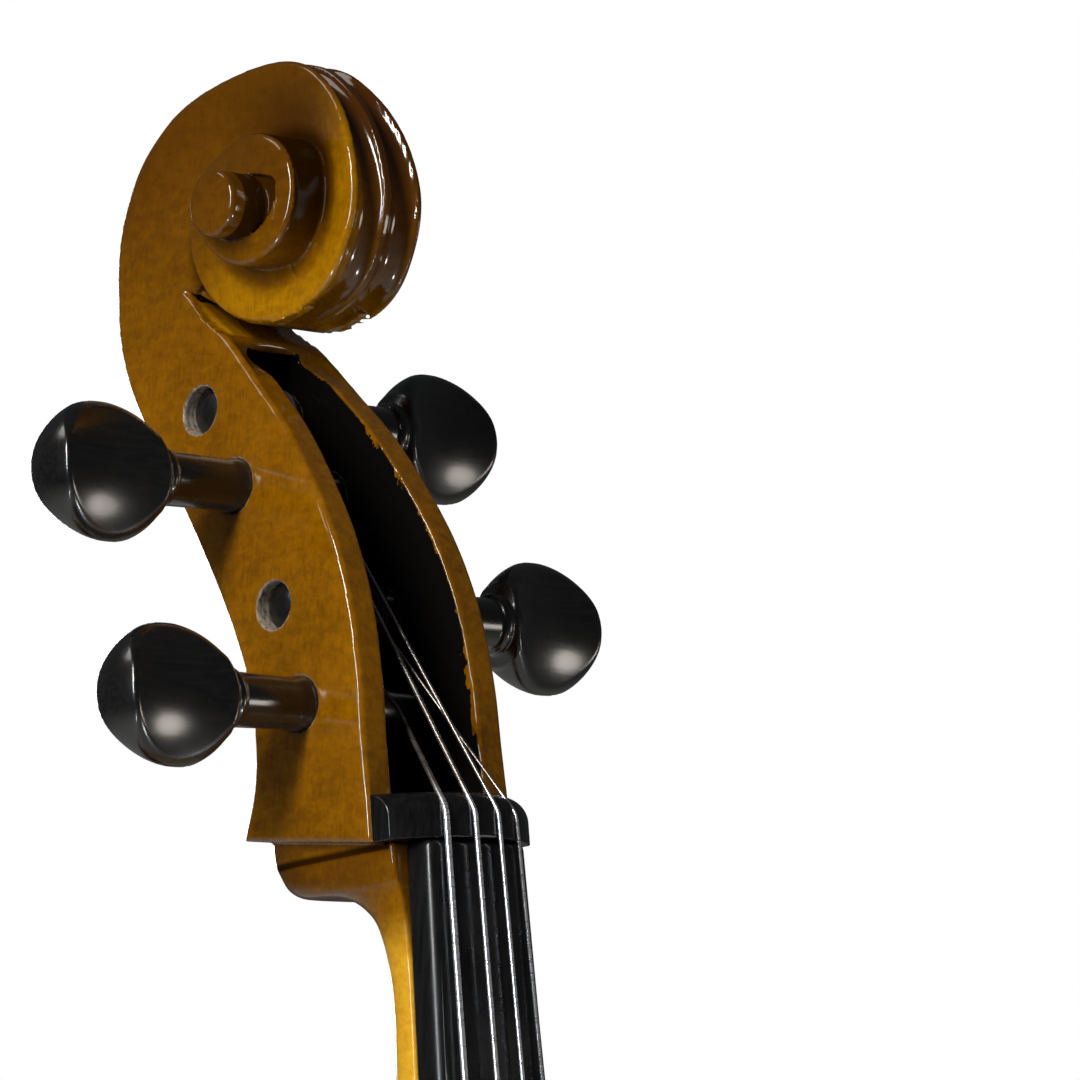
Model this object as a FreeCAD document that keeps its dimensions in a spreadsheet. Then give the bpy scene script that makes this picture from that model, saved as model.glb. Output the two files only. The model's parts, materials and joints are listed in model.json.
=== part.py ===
"""A full-size cello, standing upright on its retracted endpin.

Frame: millimetres, +Z up along the body, -Y is the front (the strings' side) and +X is the
treble side. The origin is on the endpin's axis, at the lower end of its round shank, where the
steel point begins.

The head and neck are drawn in a frame of their own, the neck frame: Z runs up the neck, Y goes
back from the face that the fingerboard is glued to, and the nut's lower face is at Z = 0. That
frame leans back by the neck angle. The tailpiece has a frame of its own too, on the line from
the saddle to the top of the bridge.
"""
import FreeCAD, Part
import math
import os
import re
import Sketcher
from FreeCAD import Placement, Rotation, Vector

DIMENSIONS = {
    # body outline
    "body_length": 755, "upper_bout_width": 340, "waist_width": 230, "lower_bout_width": 436,
    "upper_side_radius": 115, "lower_side_radius": 145, "bout_end_sweep": 22,
    "upper_side_sweep": 22, "lower_side_sweep": 33,
    "upper_corner_hollow": 80, "lower_corner_hollow": 42,
    "upper_corner_turn": 64, "lower_corner_turn": 53,
    "waist_height": 383.5, "upper_waist_clear": 17.6, "lower_waist_clear": 8.2,
    "upper_waist_hook": 63, "lower_waist_hook": 65, "corner_width": 11.5, "corner_slant": 50,
    # plates and ribs
    "rib_height": 118, "rib_thickness": 1.6, "edge_thickness": 4.6, "edge_overhang": 3,
    "top_arch": 25, "back_arch": 23, "top_thickness": 5, "back_thickness": 5.4,
    "margin_width": 12,
    "arch_run_share": 0.3, "lining_height": 12, "lining_thickness": 3.2,
    "purfling_inset": 5, "purfling_width": 1.3, "purfling_depth": 1.4,
    "button_radius": 17, "mortise_depth": 9,
    # blocks and inner parts
    "upper_block_width": 150, "upper_block_depth": 42, "lower_block_width": 120,
    "lower_block_depth": 32, "corner_block_reach": 34,
    "bass_bar_length": 560, "bass_bar_width": 11, "bass_bar_depth": 22, "bass_bar_offset": 37,
    "bass_bar_end_depth": 6,
    "sound_post_diameter": 11, "sound_post_offset": 30, "sound_post_setback": 17,
    # sound holes
    "hole_stem_length": 92, "hole_slot_width": 7, "hole_stem_offset": 79, "hole_stem_lean": 7,
    "hole_upper_eye": 13, "hole_lower_eye": 17, "hole_upper_hook": 12, "hole_lower_hook": 14,
    "hole_hook_sweep": 170, "hole_eye_shift_share": 0.33,
    # setup
    "body_stop": 400, "neck_stop": 280, "neck_angle": 9.3, "overstand": 21,
    "bridge_height": 88, "bridge_width": 92, "bridge_foot_thickness": 11,
    "bridge_top_thickness": 3, "bridge_top_radius": 75, "bridge_shoulder": 4, "string_spread_bridge": 48,
    "string_spread_nut": 23.5, "string_c_diameter": 1.9, "string_g_diameter": 1.5,
    "string_d_diameter": 1.15, "string_a_diameter": 0.85,
    "string_bend": 6, "string_lead": 9,
    # neck, fingerboard and nut
    "neck_depth": 19.5, "board_bridge_gap": 104, "board_width_nut": 32,
    "board_width_end": 64, "board_radius": 62, "board_side": 8.7,
    "board_hollow_radius": 48, "board_hollow_depth": 8, "board_hollow_start": 6,
    "nut_width": 46, "nut_length": 9.6, "nut_rise": 1.2, "nut_round": 5, "nut_seat": 2.8,
    "nut_end_height": 3.1,
    "board_step": 0.5,
    "chin_depth": 46.5, "chin_width": 38, "chin_drop": 40,
    # pegbox and scroll
    "head_length": 197, "head_depth": 92.5, "pegbox_width": 47, "scroll_band_width": 25,
    "scroll_eye_width": 64, "cheek_thickness": 8.2,
    "pegbox_top_width": 28.2, "throat_height": 149,
    "scroll_centre_depth": 36, "scroll_centre_height": 160, "scroll_eye_radius": 7.8,
    "scroll_turn_radius": 37,
    # pegs
    "peg_c_back": 25.1, "peg_c_up": 36.2, "peg_c_reach": 43, "peg_g_back": 46.4, "peg_g_up": 93.2,
    "peg_g_reach": 44, "peg_d_back": 58.8, "peg_d_up": 114.5, "peg_d_reach": 46,
    "peg_a_back": 32.6, "peg_a_up": 61.3, "peg_a_reach": 48,
    "peg_collar_length": 7, "peg_bead_share": 0.325, "peg_waist_share": 0.52,
    "peg_crown_share": 0.6, "peg_waist_round_share": 0.62,
    "peg_collar_diameter": 15, "peg_shank_diameter": 13.4, "peg_taper": 0.04,
    "peg_head_length": 35, "peg_head_diameter": 38, "peg_web": 11,
    "peg_scoop_radius": 52, "peg_clearance": 0.06, "peg_tip_recess": 2.5, "winding_gap": 0.5,
    "winding_start": 1.5, "winding_c_turns": 3.5, "winding_g_turns": 3, "winding_d_turns": 3,
    "winding_a_turns": 5,
    # tailpiece and tuners
    "tailpiece_length": 232, "tailpiece_wide": 62, "tailpiece_narrow": 36,
    "tailpiece_thickness": 11, "tailpiece_camber": 75, "tailpiece_drop": 2, "tailpiece_rim": 3,
    "tail_gap": 14, "tailgut_diameter": 2.6, "tailgut_spread": 18, "tailgut_depth": 7,
    "tailgut_grip": 20, "tailgut_lead": 3, "tailgut_bend": 6, "tailgut_gap": 0.05,
    "saddle_width": 44, "saddle_height": 13, "saddle_depth": 10, "saddle_round": 5,
    "tuner_pitch": 14, "tuner_setback": 12, "tuner_screw_reach": 22, "tuner_arm_length": 26,
    "tuner_axle_diameter": 2.4, "tuner_axle_depth": 8.5, "tuner_axle_half": 27,
    "tuner_lever_width": 4.6, "tuner_lever_thickness": 2.6, "tuner_side_gap": 0.5,
    "tuner_end_gap": 1.5, "tuner_fork_rise": 1.8, "tuner_fork_slot": 2.5,
    "tuner_ball_diameter": 4.2, "string_end_gap": 0.5,
    "tuner_knob_diameter": 9, "tuner_knob_length": 7, "tuner_knob_depth": 1,
    "tuner_knob_bevel": 0.6, "tuner_shank_diameter": 3, "tuner_tip_gap": 0.3,
    # endpin
    "endpin_diameter": 8, "endpin_length": 450, "endpin_exposed": 46, "endpin_point": 18,
    "endpin_tip_diameter": 1.2, "ferrule_diameter": 10, "ferrule_length": 30,
    "plug_collar_diameter": 32, "plug_collar_length": 20, "plug_shank_diameter": 24,
    "plug_shank_length": 34, "plug_taper": 0.03, "plug_bevel": 1.2, "plug_groove_up": 14,
    "plug_groove_width": 4.8, "plug_groove_depth": 2,
    "thumbscrew_up": 6, "thumbscrew_head": 15, "thumbscrew_head_length": 8,
    "thumbscrew_stand": 3, "thumbscrew_shank": 5, "thumbscrew_gap": 0.15,
    # clearances, and how far cuts run past what they cut
    "running_clearance": 0.05, "string_peg_gap": 0.3, "string_bridge_lift": 0.2,
    "least_edge": 0.1, "overrun": 5,
}

doc = FreeCAD.newDocument("cello")
sheet = doc.addObject("Spreadsheet::Sheet", "Dimensions")
# half width of the pegbox where each peg goes through
DERIVED = {f"peg_{name}_box": "=pegbox_width / 2 - (pegbox_width - pegbox_top_width) / 2"
                              f" * (peg_{name}_up / throat_height) ^ 2"
           for name in "cgda"}
# height of the fingerboard's arch at the nut
DERIVED["board_crown_nut"] = ("=board_radius"
                              " - sqrt(board_radius * board_radius - board_width_nut ^ 2 / 4)")
for row, (alias, value) in enumerate({**DIMENSIONS, **DERIVED}.items(), start=1):
    sheet.set(f"A{row}", alias)
    sheet.set(f"B{row}", str(value))
    sheet.setAlias(f"B{row}", alias)
doc.recompute()


class Sizes:
    """Reads a driving dimension from the sheet by its alias."""

    def __getattr__(self, alias):
        return float(sheet.get(alias))


size = Sizes()
X_AXIS = Vector(1, 0, 0)
Y_AXIS = Vector(0, 1, 0)
Z_AXIS = Vector(0, 0, 1)
SIDES = {"left": -1, "right": 1}
nodes = []


def keep(thing, label, placement=None):
    """Gives a document object its node name and its place."""
    thing.Label = label
    if placement is not None:
        thing.Placement = placement
    nodes.append(thing)
    return thing


def keep_shape(label, shape, placement=None):
    """Stores a shape made with Part's own functions as one node."""
    feature = doc.addObject("Part::Feature", label)
    feature.Shape = shape
    return keep(feature, label, placement)


def sin_of(degrees):
    return math.sin(math.radians(degrees))


def cos_of(degrees):
    return math.cos(math.radians(degrees))


# main places

half_rib = size.rib_height / 2
front_edge = -half_rib - size.edge_thickness
back_edge = half_rib + size.edge_thickness
body_bottom = size.endpin_exposed + size.plug_collar_length
body_top = body_bottom + size.body_length
bridge_z = body_top - size.body_stop
nut_y = front_edge - size.overstand + size.neck_stop * sin_of(size.neck_angle)
nut_z = body_top + size.neck_stop * cos_of(size.neck_angle)
neck_frame = Placement(Vector(0, nut_y, nut_z), Rotation(X_AXIS, -size.neck_angle))
bridge_top_y = front_edge - size.top_arch - size.bridge_height
board_length = size.neck_stop + (size.body_stop - size.board_bridge_gap) / cos_of(size.neck_angle)
saddle_top = Vector(0, front_edge - size.saddle_height, body_bottom)
gut_lift = size.tailgut_depth + size.tailgut_diameter / 2 + size.tailgut_gap
tail_start = saddle_top - Vector(0, gut_lift, 0)
tail_angle = math.degrees(math.atan2(tail_start.y - bridge_top_y, bridge_z - tail_start.z))
tail_frame = Placement(tail_start, Rotation(X_AXIS, tail_angle))
tail_tuner_z = size.tail_gap + size.tailpiece_length - size.tuner_setback
tail_screw_z = tail_tuner_z - size.tuner_screw_reach


def in_neck(x, back, up):
    """A point of the neck frame in the cello's frame."""
    return neck_frame.multVec(Vector(x, back, up))


# body outline, in the XZ plane

waist_z = body_bottom + size.waist_height


def polar(centre, radius, angle):
    """The point of the XZ plane at an angle in degrees round a centre."""
    return Vector(centre[0] + radius * cos_of(angle), 0, centre[1] + radius * sin_of(angle))


def bout_arcs(end_z, direction, width, side_radius, side_sweep, hollow, hollow_turn):
    """End, side and corner hollow of one bout: centre, radius, angles and 1 if it bulges."""
    turn = size.bout_end_sweep
    end_radius = side_radius + (width / 2 - side_radius) / sin_of(turn)
    end_centre = (0, end_z + direction * end_radius)
    reach = end_radius - side_radius
    side_centre = (reach * sin_of(turn), end_centre[1] - direction * reach * cos_of(turn))
    reach = side_radius + hollow
    hollow_centre = (side_centre[0] + reach * cos_of(side_sweep),
                     side_centre[1] + direction * reach * sin_of(side_sweep))
    first = (180 + side_sweep) * direction
    return [(end_centre, end_radius, -90 * direction, (-90 + turn) * direction, 1),
            (side_centre, side_radius, (-90 + turn) * direction, side_sweep * direction, 1),
            (hollow_centre, hollow, first, first - hollow_turn * direction, -1)]


def waist_arcs(tip, clear, hook, direction):
    """The waist from its narrowest place to one corner, a corner's width from the bout's tip.

    The hook under the corner stays clear of the waist's half width by a given distance.
    """
    half = size.waist_width / 2
    end_x = tip.x - size.corner_width * cos_of(size.corner_slant)
    end_z = tip.z - direction * size.corner_width * sin_of(size.corner_slant)
    radius = (end_x - half - clear) / (1 + cos_of(hook))
    centre = (end_x - radius * cos_of(hook), end_z - direction * radius * sin_of(hook))
    rise = abs(centre[1] - waist_z)
    run = centre[0] - half
    long_radius = (run * run + rise * rise - radius * radius) / (2 * (run - radius))
    meet = math.degrees(math.atan2(rise, long_radius - run))
    return [((half + long_radius, waist_z), long_radius, 180, 180 - direction * meet, -1),
            (centre, radius, 180 - direction * meet, 180 + direction * (hook - 180), -1)]


lower_bout = bout_arcs(body_bottom, 1, size.lower_bout_width, size.lower_side_radius,
                       size.lower_side_sweep, size.lower_corner_hollow, size.lower_corner_turn)
upper_bout = bout_arcs(body_top, -1, size.upper_bout_width, size.upper_side_radius,
                       size.upper_side_sweep, size.upper_corner_hollow, size.upper_corner_turn)


def last_point(arcs):
    centre, radius, _, end, _ = arcs[-1]
    return polar(centre, radius, end)


lower_tip = last_point(lower_bout)
upper_tip = last_point(upper_bout)
waist_low = waist_arcs(lower_tip, size.lower_waist_clear, size.lower_waist_hook, -1)
waist_high = waist_arcs(upper_tip, size.upper_waist_clear, size.upper_waist_hook, 1)


def angle_on(arc, point):
    """Angle of a point round an arc's centre, within half a turn of the arc's end."""
    centre, _, _, last, _ = arc
    angle = math.degrees(math.atan2(point.z - centre[1], point.x - centre[0]))
    return angle + 360 * round((last - angle) / 360)


def on_line(arc, inset, point, along):
    """Where an inset arc meets the line through a point, nearest to the point."""
    centre, radius, _, _, bulge = arc
    reach = radius - bulge * inset
    gap = Vector(point.x - centre[0], 0, point.z - centre[1])
    middle = gap.dot(along)
    root = math.sqrt(max(middle * middle - gap.dot(gap) + reach * reach, 0))
    return point + along * min(-middle + root, -middle - root, key=abs)


def where_arcs_cross(first, second, inset, near):
    """Where two inset arcs cross, nearest to a point."""
    (centre_1, radius_1, _, _, bulge_1), (centre_2, radius_2, _, _, bulge_2) = first, second
    reach_1 = radius_1 - bulge_1 * inset
    reach_2 = radius_2 - bulge_2 * inset
    start = Vector(centre_1[0], 0, centre_1[1])
    gap = Vector(centre_2[0], 0, centre_2[1]) - start
    along = (reach_1 ** 2 - reach_2 ** 2 + gap.dot(gap)) / (2 * gap.Length)
    aside = math.sqrt(max(reach_1 ** 2 - along ** 2, 0))
    way = Vector(gap).normalize()
    square = Vector(way.z, 0, -way.x)
    crossings = [start + way * along + square * aside, start + way * along - square * aside]
    return min(crossings, key=lambda point: (point - near).Length)


def corner(bout, waist, inset):
    """The bout's and the waist's last arcs, both cut where the inset corner's end meets them."""
    tip = last_point(bout)
    end = last_point(waist)
    along = (end - tip).normalize()
    inward = Vector(along.z, 0, -along.x)
    if inward.x > 0:
        inward = inward * -1
    first = on_line(bout[-1], inset, tip + inward * inset, along)
    last = on_line(waist[-1], inset, end + inward * inset, along)
    if (last - first).dot(along) <= size.least_edge:
        first = last = where_arcs_cross(bout[-1], waist[-1], inset, tip)
    cut_arcs = []
    for arcs, point in ((bout, first), (waist, last)):
        centre, radius, begin, _, bulge = arcs[-1]
        cut_arcs.append(arcs[:-1] + [(centre, radius, begin, angle_on(arcs[-1], point), bulge)])
    return cut_arcs


def arc_edge(arc, inset):
    centre, radius, first, last, bulge = arc
    reach = radius - bulge * inset
    ends = [polar(centre, reach, angle) for angle in (first, (first + last) / 2, last)]
    return Part.Arc(*ends).toShape()


def outline_edges(inset):
    """The right half of the plates' outline, moved inwards, from the bottom to the top."""
    edges = []
    for bout, waist in ((lower_bout, waist_low), (upper_bout, waist_high)):
        bout_cut, waist_cut = corner(bout, waist, inset)
        ends = [polar(arcs[-1][0], arcs[-1][1] - arcs[-1][4] * inset, arcs[-1][3])
                for arcs in (bout_cut, waist_cut)]
        edges += [arc_edge(arc, inset) for arc in bout_cut + waist_cut]
        if (ends[1] - ends[0]).Length > size.least_edge:
            edges.append(Part.LineSegment(*ends).toShape())
    return edges


def inset_face(inset):
    """The face inside the plates' outline, made smaller all round by a distance."""
    half = outline_edges(inset)
    mirrored = [edge.mirror(Vector(0, 0, 0), X_AXIS) for edge in half]
    return Part.Face(Part.Wire(Part.__sortEdges__(half + mirrored)))


def slab(face, y_from, y_to):
    """A face of the XZ plane as a slab between two places along Y."""
    moved = face.copy()
    moved.translate(Vector(0, y_from, 0))
    return moved.extrude(Vector(0, y_to - y_from, 0))


# arching of the plates

ARCH_ROWS = 45
ARCH_COLUMNS = 25
CORNER_SPAN_SHARE = 0.055


def outline_half_width(inset):
    """Half width of the inset outline at any height, drawn straight across the corners."""
    places = []
    for edge in outline_edges(inset):
        places += [(point.z, point.x) for point in edge.discretize(40)]
    skip = CORNER_SPAN_SHARE * size.body_length
    kept = sorted(place for place in places
                  if min(abs(place[0] - lower_tip.z), abs(place[0] - upper_tip.z)) > skip)

    def half_width(z):
        if z <= kept[0][0] or z >= kept[-1][0]:
            return 0.0
        for (z_low, x_low), (z_high, x_high) in zip(kept, kept[1:]):
            if z_low <= z <= z_high and z_high > z_low:
                return x_low + (x_high - x_low) * (z - z_low) / (z_high - z_low)
        return 0.0
    return half_width


def smooth_rise(share):
    """Rises from 0 to 1 with level ends, like the curve of a plate's cross arch."""
    held = min(max(share, 0.0), 1.0)
    return (1 - math.cos(math.pi * held)) / 2


class Arch:
    """The outer surface of one plate, as a height above its flat margin."""

    def __init__(self, height):
        self.height = height
        self.half_width = outline_half_width(size.margin_width)
        self.low = body_bottom + size.margin_width
        self.high = body_top - size.margin_width

    def __call__(self, x, z):
        half = self.half_width(z)
        if half <= 0:
            return 0.0
        along = min(z - self.low, self.high - z) / (size.arch_run_share * (self.high - self.low))
        return self.height * smooth_rise(along) ** 0.5 * smooth_rise(1 - abs(x) / half)

    def surface(self, level, direction):
        """The arched surface over the whole plate: its height is added to a level along Y."""
        half = size.lower_bout_width / 2 + size.margin_width
        bottom = body_bottom - size.margin_width
        top = body_top + 2 * size.button_radius
        grid = []
        for column in range(ARCH_COLUMNS):
            x = half * (2 * column / (ARCH_COLUMNS - 1) - 1)
            line = []
            for row in range(ARCH_ROWS):
                z = bottom + (top - bottom) * row / (ARCH_ROWS - 1)
                line.append(Vector(x, level + direction * self(x, z), z))
            grid.append(line)
        patch = Part.BSplineSurface()
        patch.interpolate(grid)
        return patch.toShape()


top_arch = Arch(size.top_arch)
back_arch = Arch(size.back_arch)


def beyond(arch, level, direction):
    """All the room on the outer side of an arched surface."""
    depth = arch.height + size.bridge_height * 2
    return arch.surface(level, direction).extrude(Vector(0, direction * depth, 0))


def plate(arch, direction, outer_level, thickness, button):
    """An arched plate: flat on its rim inside, hollowed under the arch, with a button or none."""
    rim_level = direction * half_rib
    outside = beyond(arch, outer_level, direction)
    inside = beyond(arch, outer_level - direction * thickness, direction)
    far = rim_level + direction * (arch.height + 2 * thickness)
    blank = slab(inset_face(0), rim_level, far)
    if button:
        tongue = Part.makeCylinder(size.button_radius, abs(far - rim_level),
                                   Vector(0, rim_level, body_top), Vector(0, direction, 0))
        blank = blank.fuse(tongue)
    solid = blank.cut(outside)
    hollow = slab(inset_face(size.edge_overhang), rim_level - direction * thickness, far)
    hollow = hollow.cut(inside)
    return solid.cut(hollow)


def main_solid(shape):
    """The largest solid of a shape, without slivers."""
    return max(shape.Solids, key=lambda solid: solid.Volume)


# sound holes

def thick_arc(centre, radius, width, first, last):
    """A bent strip in the XZ plane: an arc with a width."""
    middle = (first + last) / 2
    outer = [polar(centre, radius + width / 2, angle) for angle in (first, middle, last)]
    inner = [polar(centre, radius - width / 2, angle) for angle in (last, middle, first)]
    edges = [Part.Arc(*outer).toShape(), Part.LineSegment(outer[2], inner[0]).toShape(),
             Part.Arc(*inner).toShape(), Part.LineSegment(inner[2], outer[0]).toShape()]
    return Part.Face(Part.Wire(edges))


def disc(centre, radius):
    middle = Vector(centre[0], 0, centre[1])
    return Part.Face(Part.Wire(Part.makeCircle(radius, middle, Y_AXIS)))


def sound_hole(side):
    """An S-shaped hole: a leaning stem, a hook at each end, and a round eye on each hook."""
    half = size.hole_stem_length / 2
    slot = size.hole_slot_width
    upper = (-size.hole_upper_hook, half)
    lower = (size.hole_lower_hook, -half)
    stem = Part.makePolygon([Vector(-slot / 2, 0, -half), Vector(slot / 2, 0, -half),
                             Vector(slot / 2, 0, half), Vector(-slot / 2, 0, half),
                             Vector(-slot / 2, 0, -half)])
    parts = [Part.Face(stem),
             thick_arc(upper, size.hole_upper_hook, slot, 0, size.hole_hook_sweep),
             thick_arc(lower, size.hole_lower_hook, slot, 180, 180 + size.hole_hook_sweep),
             disc((2 * upper[0] + size.hole_upper_eye * size.hole_eye_shift_share, half),
                  size.hole_upper_eye / 2),
             disc((2 * lower[0] - size.hole_lower_eye * size.hole_eye_shift_share, -half),
                  size.hole_lower_eye / 2)]
    face = parts[0].multiFuse(parts[1:]).removeSplitter()
    depth = size.top_arch + 2 * size.edge_thickness + size.overrun
    hole = face.extrude(Vector(0, -depth, 0))
    hole = hole.mirror(Vector(0, 0, 0), X_AXIS) if side < 0 else hole
    lean = Rotation(Y_AXIS, side * size.hole_stem_lean)
    place = Vector(side * size.hole_stem_offset, size.overrun - half_rib, bridge_z)
    hole.Placement = Placement(place, lean)
    return hole


# neck, heel and head, in the neck frame

NECK_STATION_SHARES = (0, 0.35, 0.7)
NECK_DEPTH_SHARES = (0, 0.005, 0.01)
HEEL_STATION_SHARES = (0.7, 0.73, 0.76, 0.79, 0.82, 0.85, 0.87)
HEEL_DEPTH_SHARES = (0.01, 0.035, 0.1, 0.23, 0.48, 0.87, 1.2)
ROOT_STATION_SHARES = (0.87, 1.06)
ROOT_DEPTH_SHARES = (1.2, 1.2)
U_SHARES = ((-1, 0), (-0.97, 0.3), (-0.72, 0.78), (0, 1), (0.72, 0.78), (0.97, 0.3), (1, 0))
CHIN_DROP_SHARES = (-0.15, 0.12, 0.24, 0.33, 0.45, 0.65, 1)
CHIN_DEPTH_SHARES = (1, 0.96, 0.72, 0.42, 0.2, 0.06, 0)
CHIN_FLARE_SHARES = (1, 1, 0.95, 0.8, 0.5, 0.25, 0)


def board_width(up):
    """Width of the fingerboard's glue face at a height of the neck frame."""
    return (size.board_width_nut
            - (size.board_width_end - size.board_width_nut) * up / board_length)


def u_section(width, depth, up):
    """A rounded U: a straight front and a back through five points."""
    half = width / 2
    points = [Vector(half * across, depth * back, up) for across, back in U_SHARES]
    curve = Part.BSplineCurve()
    curve.interpolate(points)
    front = Part.LineSegment(points[-1], points[0])
    return Part.Wire([curve.toShape(), front.toShape()])


def neck_loft(stations, depths, ruled):
    """A stretch of the neck through U sections, at shares of the neck's length and depth."""
    full = 2 * half_rib + size.overstand + size.edge_thickness
    sections = []
    for along, deep in zip(stations, depths):
        up = -along * size.neck_stop
        sections.append(u_section(board_width(up) - 2 * size.board_step,
                                  size.neck_depth + deep * (full - size.neck_depth), up))
    return Part.makeLoft(sections, True, ruled)


def chin_blank():
    """The swelling under the pegbox, running out into the back of the neck."""
    sections = []
    for drop, deep, flare in zip(CHIN_DROP_SHARES, CHIN_DEPTH_SHARES, CHIN_FLARE_SHARES):
        up = -drop * size.chin_drop
        narrow = board_width(up) - 2 * size.board_step
        sections.append(u_section(narrow + flare * (size.chin_width - narrow),
                                  size.neck_depth + deep * (size.chin_depth - size.neck_depth),
                                  up))
    return Part.makeLoft(sections, True, False)


# outlines of the head, from the side, as shares of its depth and length
CHEEK_FRONT_SHARES = ((0.041, 0.203), (0.122, 0.381), (0.31, 0.533), (0.562, 0.66), (0.79, 0.757))
HEAD_BACK_SHARES = ((0.508, 0.032), (0.45, 0.152), (0.528, 0.305), (0.771, 0.508), (0.965, 0.66))
CAVITY_BACK_SHARES = ((0.405, 0.064), (0.385, 0.17), (0.46, 0.325), (0.71, 0.523), (0.84, 0.69))
CAVITY_TOP_SHARES = (0.79, 0.745)
STEP_SHARES = (0, 0.25, 0.5, 0.75, 1)
# angles round the scroll's centre, and radii as shares of the scroll's turn radius
OUTER_TURN_SHARES = ((325, 0.83), (300, 0.745), (265, 0.735), (225, 0.785), (180, 0.835),
                     (155, 0.885), (120, 0.99), (90, 1), (54, 1.105), (25, 1.345), (0, 1.49),
                     (-12, 1.565))
# angle, radius share of the turn radius, half width share of the eye's
INNER_TURN_SHARES = ((300, 0.60, 0.40), (330, 0.60, 0.43), (360, 0.575, 0.48), (390, 0.53, 0.54),
                     (420, 0.50, 0.59), (450, 0.49, 0.61), (480, 0.49, 0.62), (510, 0.475, 0.63),
                     (540, 0.445, 0.64), (570, 0.415, 0.66), (600, 0.38, 0.69), (630, 0.365, 0.73),
                     (660, 0.35, 0.78), (690, 0.325, 0.84), (720, 0.295, 0.9), (750, 0.26, 0.96))


def side_point(share, x=0.0):
    """A point of the head's side view, in the neck frame."""
    return Vector(x, share[0] * size.head_depth, share[1] * size.head_length)


def round_scroll(angle, radius, x=0.0):
    """A point round the scroll's centre; the angle is measured from the back, upwards."""
    return Vector(x, size.scroll_centre_depth + radius * cos_of(angle),
                  size.scroll_centre_height + radius * sin_of(angle))


def through(points):
    curve = Part.BSplineCurve()
    curve.interpolate(points)
    return curve.toShape()


def half_box(up):
    """Half width of the pegbox at a height: it narrows faster towards the scroll."""
    share = min(max(up / size.throat_height, 0), 1)
    return (size.pegbox_width - (size.pegbox_width - size.pegbox_top_width) * share ** 2) / 2


def front_face(half_widths, heights):
    """A face seen from the front, between mirrored curves through half widths at heights."""
    right = [Vector(half, 0, up) for half, up in zip(half_widths, heights)]
    left = [Vector(-half, 0, up) for half, up in zip(half_widths, heights)]
    edges = [through(right), Part.LineSegment(right[-1], left[-1]).toShape(),
             through(left[::-1]), Part.LineSegment(left[0], right[0]).toShape()]
    return Part.Face(Part.Wire(edges))


def head_blank():
    """Pegbox and the scroll's outer turn, before the pegbox is hollowed."""
    front = [Vector(0, size.nut_seat, size.nut_length)]
    front += [side_point(share) for share in CHEEK_FRONT_SHARES]
    turn = [round_scroll(angle, share * size.scroll_turn_radius)
            for angle, share in OUTER_TURN_SHARES]
    back = [side_point(share) for share in HEAD_BACK_SHARES]
    foot = Vector(0, size.nut_seat, 0)
    edges = [through(front), Part.LineSegment(front[-1], turn[0]).toShape(),
             through(turn + back[::-1]), Part.LineSegment(back[0], foot).toShape(),
             Part.LineSegment(foot, front[0]).toShape()]
    side = Part.Face(Part.Wire(edges))
    side.translate(Vector(-size.pegbox_width, 0, 0))
    body = side.extrude(Vector(2 * size.pegbox_width, 0, 0))
    band = size.scroll_band_width / 2
    heights = [-size.overrun] + [share * size.throat_height for share in STEP_SHARES]
    widths = [half_box(up) for up in heights]
    heights += [size.scroll_centre_height + size.scroll_eye_radius * 2,
                size.head_length + size.overrun]
    face = front_face(widths + [band, band], heights)
    face.translate(Vector(0, -size.head_depth, 0))
    return body.common(face.extrude(Vector(0, 3 * size.head_depth, 0)))


def inner_turn(first, last):
    """A stretch of the scroll's second turn, wider and wider as it winds in to the eye."""
    sections = []
    inner = size.scroll_eye_radius / 2
    for angle, radius_share, width_share in INNER_TURN_SHARES[first:last]:
        half = width_share * size.scroll_eye_width / 2
        outer = radius_share * size.scroll_turn_radius
        corners = [round_scroll(angle, radius, x) for radius, x in
                   ((inner, -half), (outer, -half), (outer, half), (inner, half), (inner, -half))]
        sections.append(Part.makePolygon(corners))
    return Part.makeLoft(sections, True, False)


def pegbox_cavity():
    """The room inside the pegbox, open to the front."""
    start = Vector(0, -size.overrun, size.nut_length + size.nut_round / 2)
    lead = Vector(0, -size.overrun, 0)
    front = [start] + [side_point(share) + lead for share in CHEEK_FRONT_SHARES]
    back = [side_point(share) for share in CAVITY_BACK_SHARES]
    top = side_point(CAVITY_TOP_SHARES)
    edges = [through(front[:-1] + [top + lead / 2]),
             Part.LineSegment(top + lead / 2, top).toShape(),
             Part.LineSegment(top, back[-1]).toShape(),
             through(back[::-1]), Part.LineSegment(back[0], front[0]).toShape()]
    side = Part.Face(Part.Wire(edges))
    side.translate(Vector(-size.pegbox_width, 0, 0))
    body = side.extrude(Vector(2 * size.pegbox_width, 0, 0))
    heights = [share * size.throat_height for share in STEP_SHARES]
    face = front_face([half_box(up) - size.cheek_thickness for up in heights], heights)
    face.translate(Vector(0, -size.head_depth, 0))
    return body.common(face.extrude(Vector(0, 3 * size.head_depth, 0)))


def heel_cutter():
    """All that lies behind the button's inner face, or below the heel's root in the block."""
    reach = size.body_length
    behind = Part.makeBox(reach, reach, reach,
                          Vector(-reach / 2, half_rib, body_top - reach / 2))
    under = Part.makeBox(reach, 2 * reach, reach,
                         Vector(-reach / 2, -reach, body_top - size.mortise_depth - reach))
    return behind.fuse(under)


def peg_place(name):
    """Where a peg's axis crosses the middle of the pegbox, in the neck frame."""
    return Vector(0, getattr(size, f"peg_{name}_back"), getattr(size, f"peg_{name}_up"))


def peg_radius(name, x):
    """Radius of a peg's tapered shank at a distance from the pegbox's middle."""
    cheek = half_box(getattr(size, f"peg_{name}_up"))
    return size.peg_shank_diameter / 2 - size.peg_taper / 2 * (cheek - x)


PEG_SIDES = {"c": -1, "g": -1, "d": 1, "a": 1}


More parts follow.
